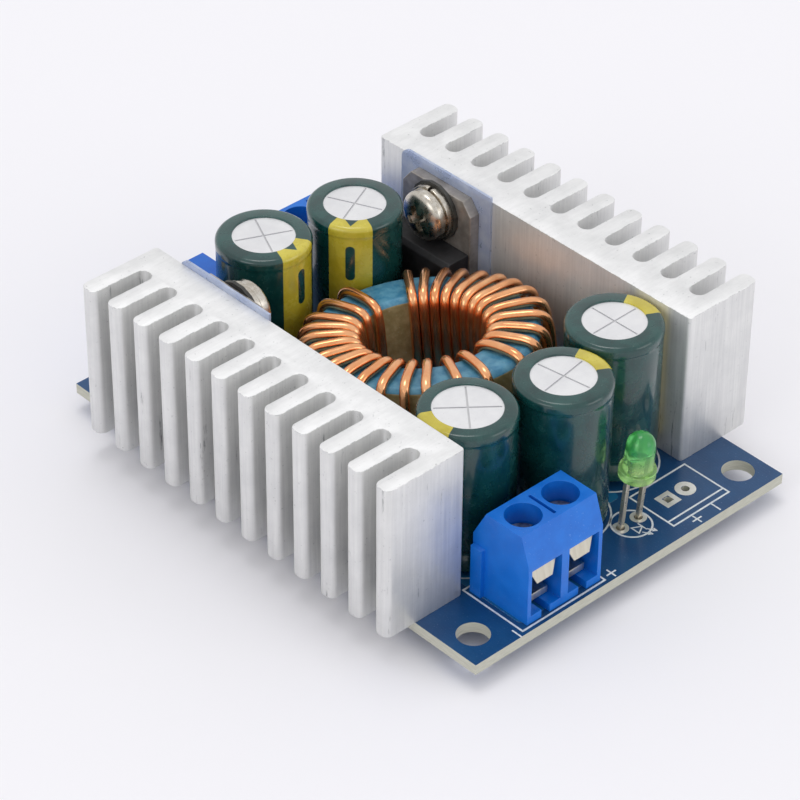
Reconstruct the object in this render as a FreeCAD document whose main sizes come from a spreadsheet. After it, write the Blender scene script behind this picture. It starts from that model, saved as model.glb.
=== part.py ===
import FreeCAD, Part
import math
import os
from types import SimpleNamespace

import Sketcher
from FreeCAD import Placement, Rotation, Vector

# Buck converter module: a bare circuit board that carries two finned heatsinks, a wound
# toroid, five capacitors, two terminal blocks, a trimmer and a lamp.
# X runs across the front edge, Y to the back and Z up, in millimetres. The origin lies under
# the middle of the board, in the plane on which the clipped solder joints stand.

doc = FreeCAD.newDocument("buck_converter")
sheet = doc.addObject("Spreadsheet::Sheet", "sizes")

DRIVING_SIZES = (
    # Circuit board
    ("board_width", 43.0),
    ("board_thickness", 1.2),
    ("corner_hole_diameter", 3.4),
    ("corner_hole_side_inset", 2.95),
    ("corner_hole_end_inset", 3.4),
    ("lead_hole_clearance", 0.12),
    # Solder joints under the board
    ("joint_height", 1.9),
    ("joint_foot_width", 1.7),
    ("joint_tip_width", 0.8),
    # Capacitors
    ("can_diameter", 10.0),
    ("can_height", 16.6),
    ("can_shoulder_width", 0.75),
    ("can_shoulder_height", 0.6),
    ("vent_width", 0.3),
    ("vent_span", 6.0),
    ("vent_depth", 0.15),
    ("can_lead_pitch", 5.0),
    ("can_lead_diameter", 0.6),
    ("can_gap", 0.05),
    ("front_left_lift", 0.4),
    ("front_middle_lift", 0.5),
    ("front_right_lift", 0.9),
    ("back_left_lift", 0.7),
    ("back_right_lift", 0.8),
    # Heatsinks
    ("row_play", 0.6),
    ("heatsink_front_inset", 8.3),
    ("heatsink_length", 45.0),
    ("heatsink_height", 17.8),
    ("heatsink_depth", 9.95),
    ("heatsink_base", 3.4),
    ("heatsink_corner", 0.5),
    ("fin_count", 12),
    ("fin_thickness", 2.0),
    # Power packages screwed to the heatsinks
    ("package_to_coil", 0.2),
    ("package_foot", 1.9),
    ("tab_width", 10.2),
    ("tab_height", 15.3),
    ("tab_thickness", 1.3),
    ("tab_corner_width", 1.2),
    ("tab_corner_height", 1.5),
    ("tab_hole_diameter", 3.8),
    ("tab_hole_drop", 2.8),
    ("moulding_width", 10.0),
    ("moulding_height", 9.2),
    ("moulding_depth", 3.2),
    ("moulding_bevel", 0.5),
    ("package_lead_setback", 2.5),
    ("package_lead_width", 0.8),
    ("package_lead_thickness", 0.5),
    ("rectifier_lead_pitch", 2.54),
    ("regulator_lead_pitch", 1.7),
    # Insulating pad, bush, spring washer and screw
    ("pad_width", 13.4),
    ("pad_foot", 0.4),
    ("pad_rise", 0.6),
    ("pad_thickness", 0.3),
    ("pad_corner", 1.2),
    ("bush_flange_diameter", 6.6),
    ("bush_flange_thickness", 0.4),
    ("bush_fit", 0.05),
    ("spring_washer_diameter", 6.0),
    ("spring_washer_thickness", 0.7),
    ("split_width", 0.4),
    ("screw_diameter", 3.0),
    ("screw_length", 6.0),
    ("screw_clearance", 0.1),
    ("thread_clearance", 0.03),
    ("screw_head_diameter", 5.6),
    ("screw_head_height", 1.8),
    ("screw_head_crown", 0.35),
    ("recess_width", 0.8),
    ("recess_span", 3.0),
    ("recess_depth", 1.0),
    # Toroid
    ("core_outer_diameter", 23.9),
    ("core_inner_diameter", 14.2),
    ("core_height", 7.92),
    ("core_chamfer", 0.5),
    ("core_middle_height", 8.3),
    ("core_shift", -0.1),
    ("core_lean_back", 8.3),
    ("core_lean_side", 1.3),
    ("wire_diameter", 1.05),
    ("wire_bend", 0.75),
    ("wire_gap", 0.05),
    ("wire_slack", 0.8),
    ("front_can_to_coil", 0.64),
    ("back_can_to_coil", 1.29),
    ("back_can_to_core", 0.49),
    # Terminal blocks
    ("terminal_width", 10.0),
    ("terminal_depth", 7.6),
    ("terminal_height", 10.2),
    ("terminal_shoulder", 6.95),
    ("terminal_front_slope", 1.1),
    ("terminal_back_slope", 1.7),
    ("terminal_shift", 8.95),
    ("terminal_front_inset", 0.8),
    ("terminal_back_inset", 0.4),
    ("pole_pitch", 5.0),
    ("cavity_width", 4.0),
    ("cavity_floor", 0.9),
    ("cavity_ceiling", 6.4),
    ("cavity_depth", 6.3),
    ("floor_slot_width", 1.1),
    ("well_diameter", 3.7),
    ("well_setback", 3.45),
    ("divider_slot_width", 0.35),
    ("divider_slot_length", 3.6),
    ("divider_slot_depth", 0.8),
    ("rib_width", 1.5),
    ("rib_height", 5.8),
    ("rib_proud", 0.5),
    ("rib_clearance", 0.1),
    # Metal parts inside the terminal blocks
    ("clamp_width", 3.2),
    ("clamp_front", 1.4),
    ("clamp_back", 6.0),
    ("guard_back", 5.1),
    ("clamp_lift", 0.2),
    ("clamp_plate", 0.8),
    ("pin_width", 0.9),
    ("pin_thickness", 0.7),
    ("guard_width", 3.8),
    ("guard_thickness", 0.2),
    ("guard_drop", 2.1),
    ("guard_flare", 0.5),
    ("guard_tip_width", 2.05),
    ("guard_setback", 0.95),
    ("clamp_screw_head", 3.3),
    ("clamp_screw_head_height", 1.5),
    ("clamp_screw_shank", 2.4),
    ("clamp_screw_reach", 1.8),
    ("clamp_screw_slot", 0.5),
    ("running_clearance", 0.05),
    # Lamp
    ("lamp_across", 4.5),
    ("lamp_inset", 5.05),
    ("lamp_foot", 6.4),
    ("lamp_lens_diameter", 3.0),
    ("lamp_flange_diameter", 3.8),
    ("lamp_flange_thickness", 1.0),
    ("lamp_height", 5.3),
    ("lamp_lean", 5.0),
    ("lamp_lead_width", 0.5),
    ("lamp_lead_pitch", 2.54),
    # Fan header footprint, left empty
    ("header_across", 11.25),
    ("header_inset", 4.95),
    ("header_pitch", 2.54),
    ("header_hole_diameter", 0.9),
    # Trimmer
    ("trimmer_width", 9.55),
    ("trimmer_depth", 4.85),
    ("trimmer_height", 9.75),
    ("trimmer_foot", 0.25),
    ("trimmer_across", -10.175),
    ("trimmer_back_inset", 1.8),
    ("trimmer_screw_diameter", 2.3),
    ("trimmer_screw_inset", 1.7),
    ("trimmer_screw_proud", 0.6),
    ("trimmer_screw_depth", 1.5),
    ("trimmer_screw_slot", 0.45),
    ("trimmer_pin_width", 0.5),
    ("trimmer_pin_pitch", 2.54),
)


class Size:
    """A length that remembers the sheet formula it comes from."""

    def __init__(self, value, formula=None):
        self.value = float(value)
        self.formula = formula if formula else repr(self.value)

    def __float__(self):
        return self.value

    def __add__(self, other):
        other = as_size(other)
        return Size(self.value + other.value, "(%s + %s)" % (self.formula, other.formula))

    def __sub__(self, other):
        other = as_size(other)
        return Size(self.value - other.value, "(%s - %s)" % (self.formula, other.formula))

    def __mul__(self, other):
        other = as_size(other)
        return Size(self.value * other.value, "(%s * %s)" % (self.formula, other.formula))

    def __truediv__(self, other):
        other = as_size(other)
        return Size(self.value / other.value, "(%s / %s)" % (self.formula, other.formula))

    def __radd__(self, other):
        return as_size(other) + self

    def __rsub__(self, other):
        return as_size(other) - self

    def __rmul__(self, other):
        return as_size(other) * self

    def __neg__(self):
        return as_size(0) - self


def as_size(number):
    return number if isinstance(number, Size) else Size(number)


def leg(long_side, other_leg):
    """The third side of a right triangle."""
    inside = long_side * long_side - other_leg * other_leg
    return Size(math.sqrt(inside.value), "sqrt(%s)" % inside.formula)


def leg_across(width, thickness):
    """A flat bar's width from corner to corner."""
    inside = width * width + thickness * thickness
    return Size(math.sqrt(inside.value), "sqrt(%s)" % inside.formula)


dim = SimpleNamespace()
for row, (alias, number) in enumerate(DRIVING_SIZES, start=1):
    sheet.set("A%d" % row, alias)
    sheet.set("B%d" % row, str(number))
    sheet.setAlias("B%d" % row, alias)
    setattr(dim, alias, Size(number, "sizes.%s" % alias))
doc.recompute()

pieces = {}
lead_ends = []


def bind(thing, prop, size):
    thing.setExpression(prop, as_size(size).formula)


def put(thing, x, y, z):
    """Ties a piece's place to the sheet; its turn is set before."""
    bind(thing, "Placement.Base.x", x)
    bind(thing, "Placement.Base.y", y)
    bind(thing, "Placement.Base.z", z)


def new_body(name):
    body = doc.addObject("PartDesign::Body", name)
    body.Label = name
    pieces[name] = body
    return body


def new_sketch(body, plane, lift=0):
    """A sketch on one of the body's own planes, lifted along the plane's normal."""
    sketch = body.newObject("Sketcher::SketchObject", body.Name + "_sketch")
    support = [f for f in body.Origin.OriginFeatures if f.Role == plane + "_Plane"][0]
    sketch.AttachmentSupport = (support, [""])
    sketch.MapMode = "FlatFace"
    bind(sketch, "AttachmentOffset.Base.z", lift)
    return sketch


def fix(sketch, geometry, point, x, y):
    """Ties one point of a sketch to the sheet, measured from the sketch's origin."""
    for kind, size in (("DistanceX", x), ("DistanceY", y)):
        rule = Sketcher.Constraint(kind, -1, 1, geometry, point, float(size))
        index = sketch.addConstraint(rule)
        bind(sketch, "Constraints[%d]" % index, size)


def circle(sketch, x, y, diameter):
    centre = Vector(float(x), float(y), 0)
    index = sketch.addGeometry(Part.Circle(centre, Vector(0, 0, 1), float(diameter) / 2))
    fix(sketch, index, 3, x, y)
    rule = sketch.addConstraint(Sketcher.Constraint("Diameter", index, float(diameter)))
    bind(sketch, "Constraints[%d]" % rule, diameter)


def outline(sketch, corners):
    """A closed outline. A corner is (x, y), and a straight side leaves it; with
    (x, y, centre_x, centre_y, turn) an arc leaves it, turning left or right."""
    ends = []
    for index, corner in enumerate(corners):
        after = corners[(index + 1) % len(corners)]
        start = Vector(float(corner[0]), float(corner[1]), 0)
        stop = Vector(float(after[0]), float(after[1]), 0)
        if len(corner) == 2:
            side = sketch.addGeometry(Part.LineSegment(start, stop))
            ends.append((side, 1, 2))
            continue
        centre = Vector(float(corner[2]), float(corner[3]), 0)
        turns_left = corner[4] == "left"
        low, high = (start, stop) if turns_left else (stop, start)
        low_angle = math.atan2(low.y - centre.y, low.x - centre.x)
        high_angle = math.atan2(high.y - centre.y, high.x - centre.x)
        if high_angle <= low_angle:
            high_angle += 2 * math.pi
        round_line = Part.Circle(centre, Vector(0, 0, 1), (start - centre).Length)
        side = sketch.addGeometry(Part.ArcOfCircle(round_line, low_angle, high_angle))
        ends.append((side, 1, 2) if turns_left else (side, 2, 1))
    for index, (side, head, tail) in enumerate(ends):
        after_side, after_head, _ = ends[(index + 1) % len(ends)]
        sketch.addConstraint(Sketcher.Constraint("Coincident", side, tail, after_side, after_head))
    for corner, (side, head, tail) in zip(corners, ends):
        fix(sketch, side, head, corner[0], corner[1])
    for index, corner in enumerate(corners):
        if len(corner) == 2:
            continue
        after = corners[(index + 1) % len(corners)]
        flat = abs(float(after[0]) - float(corner[0])) >= abs(float(after[1]) - float(corner[1]))
        kind, size = ("DistanceY", corner[3]) if flat else ("DistanceX", corner[2])
        rule = Sketcher.Constraint(kind, -1, 1, ends[index][0], 3, float(size))
        bind(sketch, "Constraints[%d]" % sketch.addConstraint(rule), size)


def flats(x, y, radius, first_angle, last_angle, count):
    """Corners on an arc. Forms that repeat are rounded off with a few flats."""
    corners = []
    for number in range(count + 1):
        angle = math.radians(first_angle + (last_angle - first_angle) * number / count)
        corners.append((x + radius * math.cos(angle), y + radius * math.sin(angle)))
    return corners


def polygon(sketch, x, y, across, sides):
    """A regular polygon, given by the distance across its flats."""
    radius = across / 2 / math.cos(math.pi / sides)
    outline(sketch, flats(as_size(x), as_size(y), radius, 180 / sides, 180 / sides + 360, sides)[:-1])


def rectangle(sketch, x_low, x_high, y_low, y_high):
    outline(sketch, [(x_low, y_low), (x_high, y_low), (x_high, y_high), (x_low, y_high)])


def cross(sketch, width, span, x=0, y=0):
    """A plus sign: the vent of a can or the recess of a screw."""
    a, b = width / 2, span / 2
    corners = [(a, a), (a, b), (-a, b), (-a, a), (-b, a), (-b, -a),
               (-a, -a), (-a, -b), (a, -b), (a, -a), (b, -a), (b, a)]
    outline(sketch, [(x + u, y + v) for u, v in corners])


def pad(body, sketch, length, backwards=False):
    feature = body.newObject("PartDesign::Pad", body.Name + "_pad")
    feature.Profile = sketch
    feature.Reversed = backwards
    bind(feature, "Length", length)
    return feature


def pocket(body, sketch, depth):
    feature = body.newObject("PartDesign::Pocket", body.Name + "_pocket")
    feature.Profile = sketch
    bind(feature, "Length", depth)
    return feature


def revolve(body, sketch, angle=360):
    feature = body.newObject("PartDesign::Revolution", body.Name + "_turned")
    feature.Profile = sketch
    feature.ReferenceAxis = (sketch, ["V_Axis"])
    feature.Angle = angle
    return feature


def row_along_y(body, feature, length, count):
    """Repeats a feature along the body's Y axis."""
    pattern = body.newObject("PartDesign::LinearPattern", body.Name + "_row")
    pattern.Originals = [feature]
    axis = [f for f in body.Origin.OriginFeatures if f.Role == "Y_Axis"][0]
    pattern.Direction = (axis, [""])
    bind(pattern, "Length", length)
    bind(pattern, "Occurrences", count)
    body.Tip = pattern
    return pattern


def group(name, members):
    """Several like solids under one name."""
    compound = doc.addObject("Part::Compound", name)
    compound.Label = name
    compound.Links = members
    pieces[name] = compound


def flat_sided(rings):
    """A solid whose flat side faces join each ring of corners to the next."""
    faces = []
    for low, high in zip(rings, rings[1:]):
        for number in range(len(low)):
            after = (number + 1) % len(low)
            corners = [low[number], low[after], high[after], high[number], low[number]]
            faces.append(Part.Face(Part.makePolygon(corners)))
    for ring in (rings[0], rings[-1]):
        faces.append(Part.Face(Part.makePolygon(ring + [ring[0]])))
    solid = Part.Solid(Part.Shell(faces))
    if solid.Volume < 0:
        solid.reverse()
    return solid


def mitred_tube(points, width, sides, side_way):
    """A bent bar of polygonal section: each bend is a mitre, so every face is flat."""
    way = (points[1] - points[0]).normalize()
    across = (side_way - way * side_way.dot(way)).normalize()
    other = way.cross(across)
    radius = width / 2 / math.cos(math.pi / sides)
    ring = []
    for number in range(sides):
        angle = (number + 0.5) * 2 * math.pi / sides
        ring.append(points[0] + across * (radius * math.cos(angle)) + other * (radius * math.sin(angle)))
    rings = [ring]
    for index in range(1, len(points)):
        way = (points[index] - points[index - 1]).normalize()
        if index + 1 < len(points):
            after = (points[index + 1] - points[index]).normalize()
            normal = (way + after).normalize()
        else:
            normal = way
        ring = [p + way * ((points[index] - p).dot(normal) / way.dot(normal)) for p in ring]
        rings.append(ring)
    return flat_sided(rings)


# Levels and lines that several pieces share
board_top = dim.joint_height + dim.board_thickness
heatsink_gap = dim.can_diameter * 3 + dim.row_play
heatsink_face = heatsink_gap / 2
can_radius = dim.can_diameter / 2
coil_radius = dim.core_outer_diameter / 2 + dim.wire_gap + dim.wire_diameter
package_front = heatsink_face - dim.pad_thickness - dim.tab_thickness - dim.moulding_depth

# Places along the board, measured from its front edge: each piece stands against the one
# before it, and the board ends behind the trimmer.
front_block_back = dim.terminal_front_inset + dim.terminal_depth
front_block_side = dim.terminal_width / 2 - dim.terminal_shift
middle_can_x = as_size(0.4)
right_can_x = heatsink_face - 0.2 - can_radius
left_can_x = 0.5 + can_radius - heatsink_face
left_can_reach = front_block_back + 0.3 + can_radius
middle_can_reach = front_block_back + leg(can_radius + dim.can_gap, middle_can_x - front_block_side)
right_can_reach = middle_can_reach + leg(dim.can_diameter + dim.can_gap, right_can_x - middle_can_x)
coil_reach = left_can_reach + leg(coil_radius + can_radius + dim.front_can_to_coil,
                                  left_can_x - dim.core_shift)
back_right_can_x = package_front - 0.2 - can_radius
back_left_can_x = 0.1 + can_radius - package_front
back_right_can_reach = coil_reach + leg(dim.core_outer_diameter / 2 + can_radius + dim.back_can_to_core,
                                        back_right_can_x - dim.core_shift)
back_left_can_reach = coil_reach + leg(coil_radius + can_radius + dim.back_can_to_coil,
                                       back_left_can_x - dim.core_shift)
package_reach = coil_reach + dim.moulding_width / 2 + leg(coil_radius + dim.package_to_coil,
                                                          package_front + dim.core_shift)
trimmer_reach = back_left_can_reach + can_radius + dim.can_gap + dim.trimmer_depth / 2
board_length = trimmer_reach + dim.trimmer_depth / 2 + dim.trimmer_back_inset
front_edge = -board_length / 2
back_edge = board_length / 2


def solder(x, y, width):
    """Notes where a lead ends, for its hole in the board and its joint under it."""
    lead_ends.append((as_size(x), as_size(y), as_size(width)))


# Heatsinks: an aluminium extrusion on end, its fins pointing away from the board
fin_pitch = (dim.heatsink_length - dim.fin_thickness) / (dim.fin_count - 1)
slot_radius = (fin_pitch - dim.fin_thickness) / 2
valley_line = dim.heatsink_base + slot_radius
heatsink_middle = front_edge + dim.heatsink_front_inset + dim.heatsink_length / 2
screw_level = dim.package_foot + dim.tab_height - dim.tab_hole_drop
package_middle = front_edge + package_reach
screw_stack = (dim.pad_thickness + dim.tab_thickness + dim.bush_flange_thickness
               + dim.spring_washer_thickness)


def heatsink(name, side):
    body = new_body(name)
    half = dim.heatsink_length / 2
    corner = dim.heatsink_corner
    zero = as_size(0)
    base = new_sketch(body, "XY")
    outline(base, [
        (corner, -half), (valley_line, -half), (valley_line, half), (corner, half),
        (zero, half - corner), (zero, corner - half),
    ])
    pad(body, base, dim.heatsink_height)
    valley = new_sketch(body, "XY", dim.heatsink_height)
    slot_middle = dim.fin_thickness + slot_radius - half
    reach = dim.heatsink_depth + 1
    outline(valley, [(reach, slot_middle + slot_radius)]
            + flats(valley_line, slot_middle, slot_radius, 90, 270, 5)
            + [(reach, slot_middle - slot_radius)])
    valley_cut = pocket(body, valley, dim.heatsink_height)
    row_along_y(body, valley_cut, fin_pitch * (dim.fin_count - 2), dim.fin_count - 1)
    fin = new_sketch(body, "XY")
    fin_half = dim.fin_thickness / 2
    outline(fin, [(dim.heatsink_base, -half)]
            + flats(dim.heatsink_depth - fin_half, fin_half - half, fin_half, -90, 90, 5)
            + [(dim.heatsink_base, dim.fin_thickness - half)])
    fin_pad = pad(body, fin, dim.heatsink_height)
    row_along_y(body, fin_pad, fin_pitch * (dim.fin_count - 1), dim.fin_count)
    tapped = new_sketch(body, "YZ")
    circle(tapped, (package_middle - heatsink_middle) * side, screw_level,
           dim.screw_diameter + dim.thread_clearance * 2)
    hole = pocket(body, tapped, dim.heatsink_base)
    hole.Reversed = True
    body.Tip = hole
    body.Placement = Placement(Vector(), Rotation(Vector(0, 0, 1), 0 if side > 0 else 180))
    put(body, heatsink_face * side, heatsink_middle, board_top)


heatsink("left_heatsink", -1)
heatsink("right_heatsink", 1)


# Power packages. Each is drawn with X pointing from the heatsink to the middle of the board.
def insulating_pad(name, side):
    body = new_body(name)
    sketch = new_sketch(body, "YZ")
    top = dim.heatsink_height + dim.pad_rise
    low = dim.pad_foot
    front, back = dim.pad_width / 2 * -side, dim.pad_width / 2 * side
    bend = dim.pad_corner * side
    turn = "right" if side > 0 else "left"
    outline(sketch, [
        (front, low), (front, top - dim.pad_corner, front + bend, top - dim.pad_corner, turn),
        (front + bend, top), (back, top), (back, low),
    ])
    pad(body, sketch, dim.pad_thickness)
    hole = new_sketch(body, "YZ", dim.pad_thickness)
    circle(hole, 0, screw_level, dim.screw_diameter + dim.screw_clearance * 2)
    pocket(body, hole, dim.pad_thickness)
    return body


def tab(name):
    body = new_body(name)
    sketch = new_sketch(body, "YZ", dim.pad_thickness)
    half = dim.tab_width / 2
    low, top = dim.package_foot, dim.package_foot + dim.tab_height
    shoulder = top - dim.tab_corner_height
    outline(sketch, [
        (-half, low), (half, low), (half, shoulder), (half - dim.tab_corner_width, top),
        (dim.tab_corner_width - half, top), (-half, shoulder),
    ])
    pad(body, sketch, dim.tab_thickness)
    hole = new_sketch(body, "YZ", dim.pad_thickness + dim.tab_thickness)
    circle(hole, 0, screw_level, dim.tab_hole_diameter)
    pocket(body, hole, dim.tab_thickness)
    return body


def moulding(name):
    body = new_body(name)
    sketch = new_sketch(body, "XZ", -dim.moulding_width / 2)
    back = dim.pad_thickness + dim.tab_thickness
    front = back + dim.moulding_depth
    low, top, bevel = dim.package_foot, dim.package_foot + dim.moulding_height, dim.moulding_bevel
    outline(sketch, [
        (back, low), (front - bevel, low), (front, low + bevel), (front, top - bevel),
        (front - bevel, top), (back, top),
    ])
    pad(body, sketch, dim.moulding_width)
    return body


def package_leads(name, side, count, pitch):
    members = []
    x = (heatsink_face - dim.pad_thickness - dim.package_lead_setback) * side
    for number in range(count):
        y = package_middle + pitch * (number - (count - 1) / 2)
        bar = doc.addObject("Part::Box", name + "_bar")
        bind(bar, "Length", dim.package_lead_thickness)
        bind(bar, "Width", dim.package_lead_width)
        bind(bar, "Height", dim.package_foot + dim.board_thickness)
        put(bar, x - dim.package_lead_thickness / 2, y - dim.package_lead_width / 2, dim.joint_height)
        solder(x, y, leg_across(dim.package_lead_width, dim.package_lead_thickness))
        members.append(bar)
    group(name, members)


# Bush, spring washer and screw, turned about Z with the heatsink's face at zero
def flat_ring(name, outer, thickness, level, sides):
    """A ring round the screw, with flats for its rims."""
    body = new_body(name)
    sketch = new_sketch(body, "XY", level)
    polygon(sketch, 0, 0, outer, sides)
    polygon(sketch, 0, 0, dim.screw_diameter + dim.screw_clearance * 2, sides)
    pad(body, sketch, thickness)
    return body


def bush(name):
    """A flange under the washer, with a sleeve down through the hole in the tab."""
    body = flat_ring(name, dim.bush_flange_diameter, dim.bush_flange_thickness,
                     dim.pad_thickness + dim.tab_thickness, 16)
    sleeve = new_sketch(body, "XY", dim.pad_thickness + dim.tab_thickness)
    polygon(sleeve, 0, 0, (dim.tab_hole_diameter - dim.bush_fit * 2) * math.cos(math.pi / 16), 16)
    polygon(sleeve, 0, 0, dim.screw_diameter + dim.screw_clearance * 2, 16)
    pad(body, sleeve, dim.tab_thickness - dim.bush_fit, backwards=True)
    return body


def spring_washer(name):
    """A split ring, pressed flat by the screw."""
    low = screw_stack - dim.spring_washer_thickness
    body = flat_ring(name, dim.spring_washer_diameter, dim.spring_washer_thickness, low, 16)
    split = new_sketch(body, "XY", screw_stack)
    rectangle(split, 0, dim.spring_washer_diameter, -dim.split_width / 2, dim.split_width / 2)
    pocket(body, split, dim.spring_washer_thickness)
    return body


def pan_screw(name):
    body = new_body(name)
    sketch = new_sketch(body, "XZ")
    shank, rim = dim.screw_diameter / 2, dim.screw_head_diameter / 2
    seat, top = screw_stack, screw_stack + dim.screw_head_height
    tip = screw_stack - dim.screw_length
    crown = dim.screw_head_crown
    zero = as_size(0)
    outline(sketch, [
        (zero, tip), (shank, tip), (shank, seat), (rim, seat), (rim, top - crown),
        (rim - crown, top), (zero, top),
    ])
    revolve(body, sketch)
    recess = new_sketch(body, "XY", top)
    cross(recess, dim.recess_width, dim.recess_span)
    pocket(body, recess, dim.recess_depth)
    return body


for side_name, side, leads in (("left", -1, (5, dim.regulator_lead_pitch, "regulator")),
                               ("right", 1, (3, dim.rectifier_lead_pitch, "rectifier"))):
    count, pitch, part_name = leads
    flat_parts = [
        insulating_pad(side_name + "_insulating_pad", side),
        tab(part_name + "_tab"),
        moulding(part_name + "_moulding"),
    ]
    for body in flat_parts:
        body.Placement = Placement(Vector(), Rotation(Vector(0, 0, 1), 180 if side > 0 else 0))
        put(body, heatsink_face * side, package_middle, board_top)
    turned_parts = [
        bush(part_name + "_bush"),
        spring_washer(part_name + "_spring_washer"),
        pan_screw(part_name + "_screw"),
    ]
    for body in turned_parts:
        body.Placement = Placement(Vector(), Rotation(Vector(0, 1, 0), -90 * side))
        put(body, heatsink_face * side, package_middle, board_top + screw_level)
    package_leads(part_name + "_leads", side, count, pitch)


# Capacitors: a sealed can in its shrink sleeve, a cross-scored vent in its top, on two leads
def capacitor(name, x, y, lift, stripe_angle):
    body = new_body(name)
    profile = new_sketch(body, "XZ")
    radius, height = can_radius, dim.can_height
    zero = as_size(0)
    outline(profile, [
        (zero, zero), (radius, zero), (radius, height - dim.can_shoulder_height),
        (radius - dim.can_shoulder_width, height), (zero, height),
    ])
    revolve(body, profile)
    vent = new_sketch(body, "XY", height)
    cross(vent, dim.vent_width, dim.vent_span)
    pocket(body, vent, dim.vent_depth)
    body.Placement = Placement(Vector(), Rotation(Vector(0, 0, 1), stripe_angle))
    put(body, x, y, board_top + lift)
    leads = []
    for way in (-1, 1):
        lead_x = x + dim.can_lead_pitch * (way / 2 * math.cos(math.radians(stripe_angle)))
        lead_y = y + dim.can_lead_pitch * (way / 2 * math.sin(math.radians(stripe_angle)))
        lead = doc.addObject("Part::Prism", name + "_lead")
        lead.Polygon = 8
        bind(lead, "Circumradius", dim.can_lead_diameter / 2)
        bind(lead, "Height", dim.board_thickness + lift)
        put(lead, lead_x, lead_y, dim.joint_height)
        solder(lead_x, lead_y, dim.can_lead_diameter)
        leads.append(lead)
    group(name + "_leads", leads)


CAPACITORS = (
    ("front_left_capacitor", left_can_x, left_can_reach, dim.front_left_lift, 180),
    ("front_middle_capacitor", middle_can_x, middle_can_reach, dim.front_middle_lift, -5),
    ("front_right_capacitor", right_can_x, right_can_reach, dim.front_right_lift, 0),
    ("back_left_capacitor", back_left_can_x, back_left_can_reach, dim.back_left_lift, -83),
    ("back_right_capacitor", back_right_can_x, back_right_can_reach, dim.back_right_lift, -125),
)
for name, x, reach, lift, stripe_angle in CAPACITORS:
    capacitor(name, x, front_edge + reach, lift, stripe_angle)


# Toroid core: a pressed iron powder ring, leaning on its leads
core = new_body("toroid_core")
core_profile = new_sketch(core, "XZ")
core_in, core_out = dim.core_inner_diameter / 2, dim.core_outer_diameter / 2
core_half, chamfer = dim.core_height / 2, dim.core_chamfer
outline(core_profile, [
    (core_in, -core_half), (core_out, -core_half), (core_out, core_half - chamfer),
    (core_out - chamfer, core_half), (core_in + chamfer, core_half), (core_in, core_half - chamfer),
])
revolve(core, core_profile)
core_turn = Rotation(Vector(1, 0, 0), -float(dim.core_lean_back)).multiply(
    Rotation(Vector(0, 1, 0), float(dim.core_lean_side)))
core_middle = Vector(float(dim.core_shift), float(front_edge + coil_reach),
                     float(board_top + dim.core_middle_height))
core.Placement = Placement(core_middle, core_turn)
put(core, dim.core_shift, front_edge + coil_reach, board_top + dim.core_middle_height)

# Toroid winding: one enamelled wire, 28 turns in a single layer. The turns are close at the
# back right and the left and spread at the front, and both ends go down into the board.
FIRST_TURN_ANGLE = 56.4
TURN_ANGLE_STEPS = ((7, 9.5), (5, 13.7), (1, 21.5), (2, 14.7), (10, 10.9), (2, 15.4))
TURN_SKEW = -1.5
LOOSE_SIDE_ANGLE = -10.0
LAST_LEAD_ANGLE = 96.0

turn_angles = [FIRST_TURN_ANGLE]
for count, step in TURN_ANGLE_STEPS:
    for number in range(count):
        turn_angles.append(turn_angles[-1] - step)
LAST_LEAD_ANGLE -= 360

wire = float(dim.wire_diameter)
bend = float(dim.wire_bend)
wire_in = float(core_in) - float(dim.wire_gap) - wire / 2
wire_out = float(core_out) + float(dim.wire_gap) + wire / 2
wire_half = float(core_half) + float(dim.wire_gap) + wire / 2


def on_core(radius, angle, height):
    """A point given by radius, angle and height about the core's own axis."""
    spin = math.radians(angle)
    local = Vector(radius * math.cos(spin), radius * math.sin(spin), height)
    return core.Placement.multVec(local)


def loose_reach(angle):
    """How far out a turn stands: those on the loose side stand off the core."""
    toward = math.cos(math.radians(angle - LOOSE_SIDE_ANGLE))
    return wire_out + float(dim.wire_slack) * max(0, toward) ** 8


wire_points = []
for angle in turn_angles:
    outer = angle + TURN_SKEW
    reach = loose_reach(outer)
    wire_points += [
        on_core(reach, outer, -wire_half),
        on_core(reach, outer, wire_half - bend),
        on_core(reach - bend, outer, wire_half),
        on_core(wire_in + bend, angle, wire_half),
        on_core(wire_in, angle, wire_half - bend),
        on_core(wire_in, angle, -wire_half),
    ]
last_bend = on_core(wire_out - bend, LAST_LEAD_ANGLE, -wire_half)
last_foot = on_core(wire_out, LAST_LEAD_ANGLE, -wire_half - bend)
first_foot = on_core(wire_out, FIRST_TURN_ANGLE + TURN_SKEW, bend - wire_half)
joint_level = float(dim.joint_height)
wire_points = [first_foot] + wire_points[1:] + [last_bend, last_foot]
wire_points.insert(0, Vector(first_foot.x, first_foot.y, joint_level))
wire_points.append(Vector(last_foot.x, last_foot.y, joint_level))
winding = doc.addObject("Part::Feature", "toroid_winding")
winding.Label = "toroid_winding"
winding.Shape = mitred_tube(wire_points, wire, 8, Vector(-first_foot.y, first_foot.x, 0))
pieces["toroid_winding"] = winding
solder(first_foot.x, first_foot.y, wire)
solder(last_foot.x, last_foot.y, wire)


# Terminal blocks, drawn with Y pointing inwards from the wire side
def pole_places():
    return (-dim.pole_pitch / 2, dim.pole_pitch / 2)


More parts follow.
